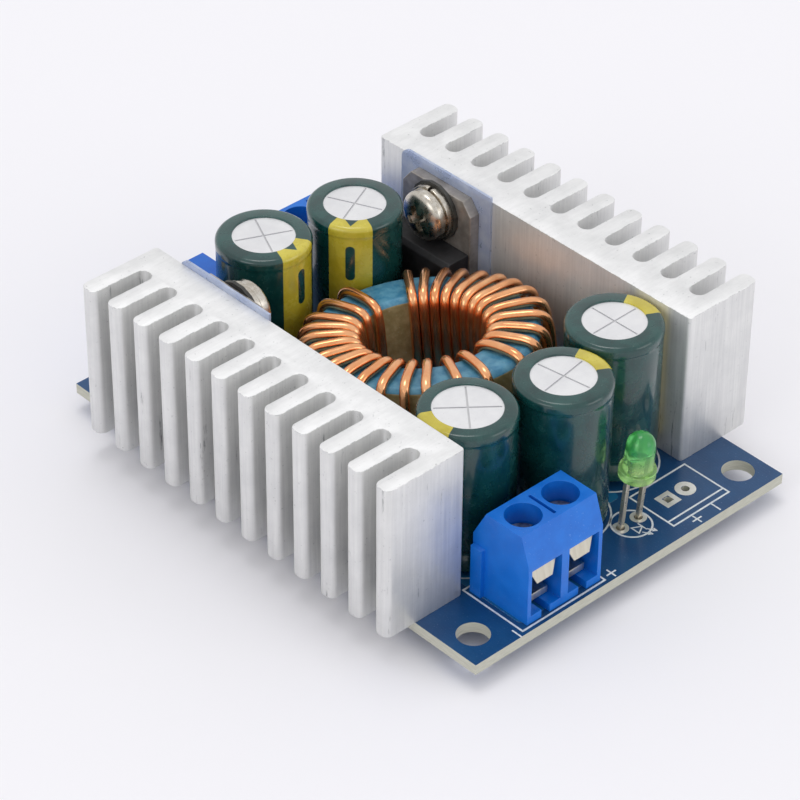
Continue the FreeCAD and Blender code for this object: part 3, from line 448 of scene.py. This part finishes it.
clipped_edge, stub = 0.08 * mm, 0.55 * mm
fillet_steps, fillet_flare = 6, 2.2
mounds = bmesh.new()
for low, high in joint_boxes:
    foot = (high.x - low.x) / 2
    tip = foot * 0.42
    neck = tip * 1.02
    profile = [(0, low.z), (tip * 0.8, low.z), (tip, low.z + clipped_edge), (neck, low.z + stub)]
    for step in range(1, fillet_steps + 1):
        rise = step / fillet_steps
        profile.append((neck + (foot - neck) * rise ** fillet_flare,
                        low.z + stub + (high.z - low.z - stub) * rise))
    profile.append((0, high.z))
    spun(mounds, Vector((*((low + high) / 2).xy, 0)), profile, 20)
bmesh.ops.remove_doubles(mounds, verts=mounds.verts, dist=1e-7)
bmesh.ops.recalc_face_normals(mounds, faces=mounds.faces)
joints_seen = piece("solder_mounds", mounds, solder_metal(), "solder", crease=50)
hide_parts("solder_joints")


# Heatsinks: cut lengths of aluminium extrusion stood on end, so the die's fine lines run up
# and down and the sawn ends show on top, with twelve round-cornered fins and U-shaped slots.
def streaks_group():
    """Fine lines along one axis, as a die or a saw leaves them on metal."""
    kinds = {"Place": "NodeSocketVector", "Across": "NodeSocketFloat"}
    group, given, end = new_group("drawn_streaks", kinds, ("Streaks",))
    fine = noise(group, given["Place"], given["Across"], 4.0, 0.65)
    feed(group, end, Streaks=in_range(group, fine, 0.3, 0.7))
    return group


drawn_streaks = streaks_group()


def streaks_on(tree, place, across):
    return group_in(tree, drawn_streaks, Place=place, Across=across)["Streaks"]


def difference(tree, first, second):
    return arithmetic(tree, "SUBTRACT", first, second)


def marked_faces(tree, layer):
    """The value that a layer of the mesh gives each face."""
    made = tree.nodes.new("ShaderNodeAttribute")
    made.attribute_name = layer
    return made.outputs["Fac"]


def extruded_aluminium():
    """Drawn sides with scratches; sawn ends in a lighter tone, partly their saw-cut finish and partly painted
    light on the tops; and a painted highlight along the cut edges.
    """
    material, tree, shader = new_material("extruded_aluminium", Metallic=0.58)
    place = texture_place(tree)
    sawn = level_faces(tree, 0.6, 0.8)
    die_lines = streaks_on(tree, stretched(tree, place, 1, 1, 0.03), 3200.0)
    saw_marks = streaks_on(tree, stretched(tree, place, 0.12, 1, 1), 2600.0)
    lines = mixed(tree, sawn, die_lines, saw_marks)
    blotches, specks = marks_on(tree, place, 330.0, 2400.0)
    # The sawn ends take a lighter tone: partly their saw-cut finish, partly painted light falling on the
    # tops.
    dull = mixed(tree, sawn, colour(218, 218, 218), colour(235, 235, 236))
    bright = mixed(tree, sawn, colour(234, 234, 233), colour(244, 244, 245))
    clean = mixed(tree, lines, dull, bright)
    stained = mixed(tree, product(tree, blotches, 0.3), clean, colour(198, 199, 200))
    scores = noise(tree, stretched(tree, place, 1, 1, 0.07), 1100.0, 5.0, 0.7)
    scratched = product(tree, in_range(tree, scores, 0.635, 0.66), difference(tree, 1.0, sawn))
    scratched = product(tree, scratched, in_range(tree, blotches, 0.2, 0.8))
    dirt = arithmetic(tree, "MAXIMUM", product(tree, specks, 0.3), product(tree, scratched, 0.65))
    worn = mixed(tree, dirt, stained, colour(98, 101, 106))
    # A near-white painted highlight along the cut edges, broken by noise, stands in for the glint of the
    # light on those edges.
    glint_breaks = in_range(tree, noise(tree, place, 1700.0, 3.0, 0.7), 0.36, 0.6)
    edge_glint = mixed(tree, glint_breaks, colour(188, 189, 190), colour(252, 252, 252))
    rough = arithmetic(tree, "ADD", in_range(tree, lines, 0.0, 1.0, 0.38, 0.5), product(tree, sawn, 0.1))
    edge_glint_mask = product(tree, marked_faces(tree, "edge_glint_strip"), 0.7)
    feed(tree, shader, Base_Color=mixed(tree, edge_glint_mask, worn, edge_glint), Roughness=rough)
    drawn = product(tree, lines, in_range(tree, sawn, 0.0, 1.0, 1.0, 0.25))
    bumped(tree, shader, difference(tree, drawn, product(tree, scratched, 3.0)), 9e-6, 0.7)
    return material


aluminium = extruded_aluminium()
fin_count = 12
fin_thickness = 2.0 * mm
base_thickness = 3.43 * mm
base_corner = 0.4 * mm
tip_round, slot_round = 0.38, 0.49
# Width of the thin bevel along the cut edges that carries the painted edge highlight.
glint_strip_width = 0.07 * mm


def heatsink(node_name, side):
    low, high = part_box(node_name)
    inner, outer = (low.x, high.x) if side > 0 else (high.x, low.x)
    pitch = (high.y - low.y - fin_thickness) / (fin_count - 1)
    outline = [(inner, low.y), (inner, high.y)]
    root = inner + base_thickness * side
    for number in reversed(range(fin_count)):
        fin_low = low.y + pitch * number
        outline += [(outer, fin_low + fin_thickness), (outer, fin_low)]
        if number:
            outline += [(root, fin_low), (root, fin_low - pitch + fin_thickness)]
    shape = bmesh.new()
    base = shape.faces.new([shape.verts.new((x, y, low.z)) for x, y in outline])
    raised = bmesh.ops.extrude_face_region(shape, geom=[base])["geom"]
    raised = [part for part in raised if isinstance(part, bmesh.types.BMVert)]
    bmesh.ops.translate(shape, vec=(0, 0, high.z - low.z), verts=raised)
    bmesh.ops.recalc_face_normals(shape, faces=shape.faces)
    posts = [e for e in shape.edges if abs(e.verts[0].co.z - e.verts[1].co.z) > mm]
    slot_width = pitch - fin_thickness
    corners = [([e for e in posts if abs(e.verts[0].co.x - x) < 1e-6], width, steps) for x, width, steps in (
        (outer, fin_thickness * tip_round, 5), (root, slot_width * slot_round, 7), (inner, base_corner, 3))]
    for edges, width, steps in corners:
        bmesh.ops.bevel(shape, geom=edges, offset=width, segments=steps, profile=0.5, affect="EDGES",
                        material=-1)
    cut_edges = []
    for edge in shape.edges:
        tilts = [abs(face.normal.z) for face in edge.link_faces]
        if len(tilts) == 2 and max(tilts) > 0.9 and min(tilts) < 0.1:
            cut_edges.append(edge)
    # The thin bevels along the cut edges are marked to carry the painted edge highlight.
    glint_strip_mark = shape.faces.layers.float.new("edge_glint_strip")
    glint_strips = bmesh.ops.bevel(shape, geom=cut_edges, offset=glint_strip_width, segments=2, profile=0.5,
                             affect="EDGES", material=-1)
    for face in glint_strips["faces"]:
        face[glint_strip_mark] = 1.0
    made = piece(node_name + "_extrusion", shape, aluminium, "heatsink")
    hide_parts(node_name)


heatsink("left_heatsink", -1)
heatsink("right_heatsink", 1)


# Insulating pads: a thin silicone sheet between each package and its heatsink, pale blue and
# a little see-through, standing up above the metal.
pad_sheet = blotched("silicone_sheet", 420.0, (colour(186, 200, 232), colour(214, 224, 246)), (0.26, 0.44),
                     Transmission_Weight=0.35, IOR=1.4, Specular_IOR_Level=0.5)
dress("left_insulating_pad", pad_sheet)
dress("right_insulating_pad", pad_sheet)


# Power packages: a black moulded case on a tinned metal tab, with chamfered top corners, its
# leads going down into the board.
def softened(node_name, name, width, material, slot, body="module", sharp=35, crease=40):
    """A copy of a solid with its sharp edges rounded off, in the solid's place."""
    shape = bmesh.new()
    shape.from_mesh(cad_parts[node_name].data)
    bmesh.ops.remove_doubles(shape, verts=shape.verts, dist=1e-7)
    bmesh.ops.dissolve_limit(shape, angle_limit=math.radians(1), verts=shape.verts, edges=shape.edges)
    edges = [e for e in shape.edges if e.is_manifold and e.calc_face_angle() > math.radians(sharp)]
    bmesh.ops.bevel(shape, geom=edges, offset=width, segments=2, profile=0.5, affect="EDGES",
                    clamp_overlap=True, material=-1)
    made = piece(name, shape, material, slot, body, crease)
    smoothing = made.modifiers.new("flat_faces", "WEIGHTED_NORMAL")
    smoothing.keep_sharp = True
    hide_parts(node_name)


def tinned_tab():
    material, tree, shader = new_material("tinned_tab", Metallic=0.6)
    place = texture_place(tree)
    lines = streaks_on(tree, stretched(tree, place, 1, 0.08, 1), 2600.0)
    blotches = marks_on(tree, place, 700.0)[0]
    feed(tree, shader, Base_Color=mixed(tree, blotches, colour(152, 146, 140), colour(186, 180, 174)),
         Roughness=in_range(tree, lines, 0.0, 1.0, 0.3, 0.46))
    return material


def case_plastic():
    material, tree, shader = new_material("black_case", Roughness=0.55)
    blotches, specks = marks_on(tree, texture_place(tree), 800.0, 9000.0)
    feed(tree, shader, Base_Color=mixed(tree, blotches, colour(30, 30, 32), colour(46, 46, 49)))
    bumped(tree, shader, specks, 8e-6, 0.6)
    return material


tab_metal, black_plastic = tinned_tab(), case_plastic()
lead_metal = blotched("tinned_lead", 1500.0, (colour(222, 212, 190),), (0.26, 0.36), Metallic=0.75)
for part in ("regulator", "rectifier"):
    softened(part + "_tab", part + "_tab_plate", 0.08 * mm, tab_metal, "package_tab")
    softened(part + "_moulding", part + "_case", 0.12 * mm, black_plastic, "black_moulding")
    dress(part + "_leads", lead_metal)


# Package screws: an M3 pan head with a cross recess, nickel plated, on a split spring washer
# and a black bush that keeps the screw off the tab.
def turned(profile, steps=64):
    """A shape turned on a lathe about Z, from (radius, height) points in millimetres."""
    shape = bmesh.new()
    spun(shape, Vector(), [(r * mm, z * mm) for r, z in profile], steps)
    bmesh.ops.remove_doubles(shape, verts=shape.verts, dist=1e-7)
    bmesh.ops.recalc_face_normals(shape, faces=shape.faces)
    return shape


def cross_cut(shape, half_width, reach, above):
    """Cuts a cross, sized in millimetres, into the faces above a height, ready to be sunk."""
    for across in ((1, 0, 0), (0, 1, 0)):
        for offset in (-half_width, half_width, -reach, reach):
            bmesh.ops.bisect_plane(shape, geom=shape.verts[:] + shape.edges[:] + shape.faces[:],
                                   plane_co=Vector(across) * offset * mm, plane_no=across)
    cross = []
    for face in shape.faces:
        x, y, z = face.calc_center_median() / mm
        if min(abs(x), abs(y)) < half_width and max(abs(x), abs(y)) < reach and z > above:
            cross.append(face)
    sunk = bmesh.ops.extrude_face_region(shape, geom=cross)["geom"]
    bmesh.ops.delete(shape, geom=cross, context="FACES_ONLY")
    return ([part for part in sunk if isinstance(part, bmesh.types.BMVert)],
            [part for part in sunk if isinstance(part, bmesh.types.BMFace)])


nickel = blotched("nickel_plate", 1300.0, (colour(190, 182, 170), colour(220, 216, 208)), (0.22, 0.34),
                  Metallic=1.0)
bush_plastic = blotched("bush_plastic", 900.0, (colour(44, 44, 42), colour(66, 66, 62)), (0.5,))
head_radius, head_height = 2.8, 1.8
dome_angles = [math.radians(9 * step) for step in range(11)]
head_profile = [(0, 0), (head_radius - 0.15, 0), (head_radius, 0.15)]
head_profile += [(head_radius * math.cos(a), head_height * (0.42 + 0.58 * math.sin(a))) for a in dome_angles]
shank_profile = [(0, -4.2), (1.2, -4.2), (1.47, -3.9), (1.47, 0.05), (0, 0.05)]
cross_half_width, cross_reach = 0.42, 1.45
cross_top, cross_depth, cross_rise = 1.62, 1.05, 0.7
cross_bearing = math.radians(28)
for part, side in (("regulator", -1), ("rectifier", 1)):
    low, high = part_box(part + "_screw")
    screw = turned(head_profile, 48)
    for vertex in cross_cut(screw, cross_half_width, cross_reach, head_height / 2)[0]:
        reach = max(abs(vertex.co.x), abs(vertex.co.y)) / (cross_reach * mm)
        vertex.co.z = min(vertex.co.z, cross_top * mm) - (cross_depth - cross_rise * reach ** 2) * mm
    bmesh.ops.recalc_face_normals(screw, faces=screw.faces)
    shank = turned(shank_profile, 32)
    scrap = bpy.data.meshes.new("shank")
    shank.to_mesh(scrap)
    shank.free()
    screw.from_mesh(scrap)
    bpy.data.meshes.remove(scrap)
    seat = (high.x if side < 0 else low.x) + head_height * mm * side
    middle = (low + high) / 2
    turn = Matrix.Rotation(math.radians(-90 * side), 4, "Y") @ Matrix.Rotation(cross_bearing, 4, "Z")
    screw_place = Matrix.Translation((seat, middle.y, middle.z))
    bmesh.ops.transform(screw, matrix=screw_place @ turn, verts=screw.verts)
    screw_seen = piece(part + "_pan_screw", screw, nickel, "nickel_screw", crease=35)
    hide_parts(part + "_screw")
    softened(part + "_spring_washer", part + "_split_ring", 0.08 * mm, nickel, "nickel_screw",
             sharp=30, crease=30)
    dress(part + "_bush", bush_plastic)


# Capacitors: an aluminium can with a rolled groove near its foot, in a dark green shrink sleeve
# whose edge turns in over the top, a yellow stripe down the negative side and a scored vent.
def rounded(x, z, radius, start, stop, steps=5):
    """Points on an arc of a lathe profile."""
    angles = [math.radians(start + (stop - start) * step / steps) for step in range(steps + 1)]
    return [(x + radius * math.cos(a), z + radius * math.sin(a)) for a in angles]


stripe_half_angle = math.radians(27.4)
dash_middle, dash_half_length, dash_half_width = 4.3, 1.6, 0.5
notch_tip, notch_slope = 4.45, 0.6
print_edge = 0.05


def sleeve_material(name, stripe_angle, centre, height, notched):
    """Green film with a yellow band that runs in over the rim, and a green dash in the band."""
    material, tree, shader = new_material(name, Coat_Weight=0.5, Coat_Roughness=0.08)
    place = texture_place(tree)
    mapping = add_node(tree, "Mapping", Vector=place, Rotation=(0, 0, math.radians(-stripe_angle)))
    turned_back = Matrix.Rotation(math.radians(-stripe_angle), 3, "Z") @ centre
    mapping.inputs["Location"].default_value = -turned_back / mm
    mapping.inputs["Scale"].default_value = (1 / mm, 1 / mm, 1 / mm)
    axes = add_node(tree, "SeparateXYZ", Vector=mapping.outputs["Vector"]).outputs
    ahead, beside = axes["X"], arithmetic(tree, "ABSOLUTE", axes["Y"])
    inside = difference(tree, product(tree, ahead, math.tan(stripe_half_angle)), beside)
    stripe = in_range(tree, inside, 0.0, print_edge)
    from_middle = arithmetic(tree, "ABSOLUTE", difference(tree, axes["Z"], height - dash_middle))
    past_end = arithmetic(tree, "MAXIMUM", difference(tree, from_middle, dash_half_length), 0.0)
    away = arithmetic(tree, "ADD", product(tree, beside, beside), product(tree, past_end, past_end))
    dash = in_range(tree, arithmetic(tree, "SQRT", away), dash_half_width + 0.03, dash_half_width - 0.03)
    stripe = product(tree, stripe, difference(tree, 1.0, dash))
    if notched:
        slope = product(tree, difference(tree, notch_tip, ahead), notch_slope)
        notch = in_range(tree, difference(tree, slope, beside), 0.0, print_edge)
        stripe = product(tree, stripe, difference(tree, 1.0, notch))
    blotches, specks = marks_on(tree, place, 380.0, 5200.0)
    green = mixed(tree, blotches, colour(10, 54, 54), colour(20, 74, 71))
    yellow = mixed(tree, blotches, colour(188, 172, 44), colour(210, 196, 70))
    printed = mixed(tree, stripe, green, yellow)
    feed(tree, shader, Base_Color=mixed(tree, product(tree, specks, 0.12), printed, colour(170, 180, 170)),
         Roughness=in_range(tree, blotches, 0.0, 1.0, 0.2, 0.32))
    bumped(tree, shader, blotches, 1.5e-5, 0.4)
    return material


def can_top_metal():
    material, tree, shader = new_material("can_top", Metallic=0.85)
    place = texture_place(tree)
    blotches, specks = marks_on(tree, place, 300.0, 4200.0)
    lines = noise(tree, place, 2600.0, 4.0, 0.6)
    clean = mixed(tree, blotches, colour(232, 232, 235), colour(242, 242, 244))
    worn = mixed(tree, product(tree, specks, 0.2), clean, colour(150, 150, 152))
    # The vent's grooves are painted darker: painted shade in the grooves.
    groove_shade = product(tree, marked_faces(tree, "painted_groove_shade"), 0.32)
    feed(tree, shader, Base_Color=mixed(tree, groove_shade, worn, colour(104, 104, 106)),
         Roughness=in_range(tree, lines, 0.3, 0.7, 0.36, 0.48))
    bumped(tree, shader, lines, 4e-6, 0.5)
    return material


can_metal = can_top_metal()
side_radius, shoulder_radius, shoulder_arc = 4.95, 5.0, 0.58
roll_height, roll_arc = 2.1, 0.6
disc_edge, disc_drop = 0.06, 0.17
score_half_width, score_depth = 0.1, 0.12
# Each row: the stripe's bearing, the vent's bearing, the radius where the sleeve ends, and
# whether the stripe is notched.
cans = {
    "front_left_capacitor": (177, -40, 3.5, False),
    "front_middle_capacitor": (-1.5, 9, 3.27, False),
    "front_right_capacitor": (1, 1, 3.25, False),
    "back_left_capacitor": (-81, -24.5, 3.25, True),
    "back_right_capacitor": (-138, -65, 3.25, True),
}
for node_name, (stripe_angle, vent_angle, lip, notched) in cans.items():
    low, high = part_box(node_name)
    centre = Vector((*((low + high) / 2).xy, low.z))
    height = (high.z - low.z) / mm
    profile = [(0, 0.35), (4.1, 0.35)] + rounded(4.45, 0.3, 0.3, 200, 270)
    profile += rounded(side_radius - 0.3, 0.3, 0.3, -90, 0) + [(side_radius, roll_height - roll_arc)]
    profile += rounded(5.3, roll_height, roll_arc, 210, 150, 8) + [(side_radius, roll_height + roll_arc)]
    profile += [(side_radius, height - 1.6)] + rounded(shoulder_radius - 0.3, height - 1.1, 0.3, -30, 0, 3)
    profile += rounded(shoulder_radius - shoulder_arc, height - 0.62, shoulder_arc, 0, 78, 8)
    profile += [(lip + 0.25, height - 0.02)] + rounded(lip + 0.12, height - 0.13, 0.12, 75, 180, 4)
    profile += [(lip, height - 0.3), (0, height - 0.3)]
    sleeve = turned(profile, 72)
    bmesh.ops.translate(sleeve, vec=centre, verts=sleeve.verts)
    sleeve_film = sleeve_material(node_name + "_sleeve", stripe_angle, centre, height, notched)
    sleeve_seen = piece(node_name.replace("capacitor", "can_sleeve"), sleeve, sleeve_film, "capacitor_sleeve")
    disc = bmesh.new()
    # The groove faces are marked to carry their painted shade.
    groove_shade_mark = disc.faces.layers.float.new("painted_groove_shade")
    bmesh.ops.create_circle(disc, cap_ends=True, radius=(lip + disc_edge) * mm, segments=64)
    score_corners, score_faces = cross_cut(disc, score_half_width, lip - 0.2, above=-1)
    for face in score_faces:
        face[groove_shade_mark] = 1.0
    bmesh.ops.translate(disc, vec=(0, 0, -score_depth * mm), verts=score_corners)
    bmesh.ops.recalc_face_normals(disc, faces=disc.faces)
    if sum(face.normal.z * face.calc_area() for face in disc.faces) < 0:
        bmesh.ops.reverse_faces(disc, faces=disc.faces)
    turn = Matrix.Rotation(math.radians(vent_angle), 4, "Z")
    disc_place = Matrix.Translation(centre + Vector((0, 0, (height - disc_drop) * mm)))
    bmesh.ops.transform(disc, matrix=disc_place @ turn, verts=disc.verts)
    piece(node_name.replace("capacitor", "can_top"), disc, can_metal, "capacitor_sleeve", crease=25)
    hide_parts(node_name)
    dress(node_name + "_leads", lead_metal)


# Toroid core: pressed powder with a hard paint, blue on its top and olive round its sides,
# the coat a little lumpy. It leans back a little in the winding.
core_lean = math.radians(8.3)
core_side = math.radians(1.3)


def core_paint():
    material, tree, shader = new_material("core_paint", Roughness=0.42)
    place = texture_place(tree)
    facing = tree.nodes.new("ShaderNodeVectorMath")
    facing.operation = "DOT_PRODUCT"
    connect(tree, facing.inputs[0], add_node(tree, "NewGeometry").outputs["True Normal"])
    facing.inputs[1].default_value = (
        math.sin(core_side), math.cos(core_side) * math.sin(core_lean), math.cos(core_lean))
    on_top = in_range(tree, facing.outputs["Value"], 0.25, 0.5)
    blotches, specks = marks_on(tree, place, 900.0, 3800.0)
    top_paint = mixed(tree, blotches, colour(54, 126, 164), colour(98, 160, 188))
    side_paint = mixed(tree, blotches, colour(142, 128, 86), colour(172, 158, 118))
    painted = mixed(tree, on_top, side_paint, top_paint)
    feed(tree, shader, Base_Color=mixed(tree, product(tree, specks, 0.45), painted, colour(190, 200, 196)))
    bumped(tree, shader, noise(tree, place, 1800.0), 4e-5, 0.6)
    return material


softened("toroid_core", "toroid_ring", 0.2 * mm, core_paint(), "core", sharp=30, crease=60)


# Toroid winding: 28 turns of enamelled copper wire laid round the core by hand in one layer,
# close together at both sides and more open in front, with both ends led into the board.
copper = blotched("enamelled_copper", 320.0, (colour(242, 162, 106), colour(252, 190, 138)), (0.17, 0.26),
                  Metallic=0.94, Coat_Weight=0.6, Coat_Roughness=0.2)
wire_width, wire_gap, wire_bend = 1.05 * mm, 0.05 * mm, 0.95 * mm
core_inner, core_outer, core_half = 7.1 * mm, 11.95 * mm, 3.96 * mm
wire_inner = core_inner - wire_gap - wire_width / 2
wire_outer = core_outer + wire_gap + wire_width / 2
wire_half = core_half + wire_gap + wire_width / 2
first_turn, last_turn_down, turn_slant = 56.4, 96.0, 1.5
# How many turns follow the first one, group by group, and at what step in degrees.
turn_groups = ((7, 9.5), (5, 13.7), (1, 21.5), (2, 14.7), (10, 10.9), (2, 15.4))
turn_angles = [first_turn]
for count, step in turn_groups:
    for number in range(count):
        turn_angles.append(turn_angles[-1] - step)
core_low, core_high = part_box("toroid_core")
core_middle = (core_low + core_high) / 2 + Vector((0, 1, 1)) * 0.25 * mm * math.sin(core_lean)
core_turn = Matrix.Rotation(-core_lean, 4, "X") @ Matrix.Rotation(core_side, 4, "Y")


def round_core(radius, angle, height):
    spin = math.radians(angle)
    return core_middle + core_turn @ Vector((radius * math.cos(spin), radius * math.sin(spin), height))


def loose_reach(angle):
    """The turns on the right stand off the core, where the wire was left loose."""
    return wire_outer + 0.8 * mm * max(0, math.cos(math.radians(angle + 10))) ** 8


wire_path = []
for number, angle in enumerate(turn_angles):
    outside = angle - turn_slant + 0.5 * math.sin(number * 2.4)
    bow = (0.05 + 0.04 * math.sin(number * 1.7)) * mm
    reach = loose_reach(outside)
    wire_path += [
        round_core(reach - wire_bend, outside, -wire_half),
        round_core(reach, outside, wire_bend - wire_half),
        round_core(reach + bow, outside, 0),
        round_core(reach, outside, wire_half - wire_bend),
        round_core(reach - wire_bend, outside, wire_half),
        round_core((reach + wire_inner) / 2, angle - turn_slant / 2, wire_half + bow),
        round_core(wire_inner + wire_bend, angle, wire_half),
        round_core(wire_inner, angle, wire_half - wire_bend),
        round_core(wire_inner, angle, wire_bend - wire_half),
        round_core(wire_inner + wire_bend, angle, -wire_half),
    ]
wire_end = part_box("toroid_winding")[0].z
first_foot, last_foot = wire_path[1], round_core(wire_outer, last_turn_down, -wire_half - wire_bend)
wire_path = [Vector((*first_foot.xy, wire_end))] + wire_path[1:]
wire_path += [round_core(wire_outer - wire_bend, last_turn_down, -wire_half), last_foot,
              Vector((*last_foot.xy, wire_end))]
wire_curve = bpy.data.curves.new("winding_path", "CURVE")
wire_curve.dimensions = "3D"
wire_curve.bevel_depth = wire_width / 2
wire_curve.bevel_resolution = 5
wire_curve.resolution_u = 5
wire_curve.use_fill_caps = True
wire_line = wire_curve.splines.new("NURBS")
wire_line.points.add(len(wire_path) - 1)
for point, corner in zip(wire_line.points, wire_path):
    point.co = (*corner, 1.0)
wire_line.order_u = 3
wire_line.use_endpoint_u = True
wire_holder = bpy.data.objects.new("winding_path", wire_curve)
bpy.context.scene.collection.objects.link(wire_holder)
wire_mesh = bpy.data.meshes.new_from_object(wire_holder.evaluated_get(bpy.context.evaluated_depsgraph_get()))
bpy.data.objects.remove(wire_holder)
coil = bmesh.new()
coil.from_mesh(wire_mesh)
bpy.data.meshes.remove(wire_mesh)
coil_seen = piece("copper_winding", coil, copper, "copper_wire", crease=60)
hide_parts("toroid_winding")


# Terminal blocks: moulded blue nylon with a round well over each screw and a square mouth for
# each wire; the wire is pressed by a folded tinned clamp under a thin leaf.
def blue_nylon():
    material, tree, shader = new_material("blue_nylon", Specular_IOR_Level=0.5)
    place = texture_place(tree)
    blotches, specks = marks_on(tree, place, 420.0, 4800.0)
    moulded = mixed(tree, blotches, colour(6, 106, 208), colour(16, 117, 219))
    feed(tree, shader, Base_Color=mixed(tree, product(tree, specks, 0.3), moulded, colour(150, 190, 240)),
         Roughness=in_range(tree, blotches, 0.0, 1.0, 0.3, 0.46))
    bumped(tree, shader, noise(tree, place, 5200.0, 2.0), 5e-6, 0.5)
    return material


def tinned_leaf():
    material, tree, shader = new_material("tinned_leaf", Metallic=1.0)
    lines = streaks_on(tree, stretched(tree, texture_place(tree), 1, 0.1, 0.1), 2600.0)
    feed(tree, shader, Base_Color=mixed(tree, lines, colour(208, 202, 184), colour(226, 221, 206)),
         Roughness=in_range(tree, lines, 0.0, 1.0, 0.28, 0.44))
    return material


nylon, leaf_metal = blue_nylon(), tinned_leaf()
zinc = blotched("zinc_screw", 1600.0, (colour(130, 132, 136), colour(172, 174, 178)), (0.3, 0.5),
                Metallic=1.0)
for end in ("front", "back"):
    softened(end + "_terminal_housing", end + "_terminal_block", 0.09 * mm, nylon, "terminal_blue")
    for number in (1, 2):
        clamp, guard = f"{end}_wire_clamp_{number}", f"{end}_wire_guard_{number}"
        screw = f"{end}_clamp_screw_{number}"
        softened(clamp, f"{end}_clamp_frame_{number}", 0.05 * mm, leaf_metal, "clamp_metal")
        softened(guard, f"{end}_leaf_{number}", 0.03 * mm, leaf_metal, "clamp_metal")
        softened(screw, f"{end}_slotted_screw_{number}", 0.08 * mm, zinc, "clamp_screw", body=screw,
                 sharp=30, crease=35)


# Lamp: clear green resin cast round two leads; the longer lead ends in a post and the other in
# a cup that holds the chip, and both show through the resin.
def green_resin(low, high):
    """Tinted resin whose green deepens from one height to the other."""
    material, tree, shader = new_material(
        "green_resin", Roughness=0.1, Transmission_Weight=0.74, IOR=1.5)
    place = texture_place(tree)
    blotches = marks_on(tree, place, 900.0)[0]
    level = add_node(tree, "SeparateXYZ", Vector=place).outputs["Z"]
    pale = mixed(tree, blotches, colour(192, 250, 150), colour(214, 255, 176))
    feed(tree, shader, Base_Color=mixed(tree, in_range(tree, level, low, high), pale, colour(92, 226, 126)))
    return material


lens_low, lens_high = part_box("lamp_lens")
lamp_lean = math.radians(5)
lead_half_thickness, lead_length = 0.28 * mm, 6.4 * mm
lamp_x = 4.5 * mm
lamp_y = leads_high.y - lead_half_thickness - lead_length * math.sin(lamp_lean)
lamp_place = Matrix.Translation((lamp_x, lamp_y, leads_high.z)) @ Matrix.Rotation(lamp_lean, 4, "X")
flange_radius, lens_radius, lens_straight = 1.9, 1.49, 3.8
lens_profile = [(0, 0), (1.85, 0)] + rounded(flange_radius - 0.1, 0.1, 0.1, -60, 0, 3)
lens_profile += rounded(flange_radius - 0.1, 0.9, 0.1, 0, 90, 3) + [(1.55, 1.0), (1.5, 1.08)]
lens_profile += [(lens_radius, lens_straight)] + rounded(0, lens_straight, lens_radius, 0, 90, 12)
lens = turned(lens_profile, 48)
bmesh.ops.transform(lens, matrix=lamp_place, verts=lens.verts)
resin = green_resin(lens_low.z + 1.4 * mm, lens_high.z - 1.6 * mm)
lens_seen = piece("lamp_resin", lens, resin, "lamp_green", crease=50)
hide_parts("lamp_lens")
posts = bmesh.new()
slab(posts, Vector((-0.95, -0.22, 0.4)) * mm, Vector((0.35, 0.22, 2.3)) * mm)
slab(posts, Vector((0.6, -0.2, 0.4)) * mm, Vector((0.95, 0.2, 2.5)) * mm)
bmesh.ops.bevel(posts, geom=posts.edges[:], offset=0.06 * mm, segments=2, profile=0.5, affect="EDGES",
                material=-1)
bmesh.ops.transform(posts, matrix=lamp_place, verts=posts.verts)
piece("lamp_inner_posts", posts, lead_metal, "tinned_lead")
softened("lamp_leads", "lamp_wires", 0.06 * mm, lead_metal, "tinned_lead")


# Trimmer: a moulded blue box on three pins, with a slotted brass screw that drives the wiper
# through many turns.
def trimmer_plastic():
    material, tree, shader = new_material("trimmer_plastic", Roughness=0.42)
    place = texture_place(tree)
    blotches = marks_on(tree, place, 460.0)[0]
    feed(tree, shader, Base_Color=mixed(tree, blotches, colour(8, 96, 200), colour(16, 106, 210)))
    bumped(tree, shader, noise(tree, place, 4800.0, 2.0), 5e-6, 0.5)
    return material


brass = blotched("turned_brass", 1500.0, (colour(196, 158, 82), colour(228, 194, 118)), (0.26,), Metallic=1.0)
softened("trimmer_body", "trimmer_case", 0.14 * mm, trimmer_plastic(), "trimmer_blue")
softened("trimmer_screw", "trimmer_adjuster", 0.07 * mm, brass, "trimmer_brass", body="trimmer_screw",
         sharp=30, crease=35)
dress("trimmer_pins", lead_metal)
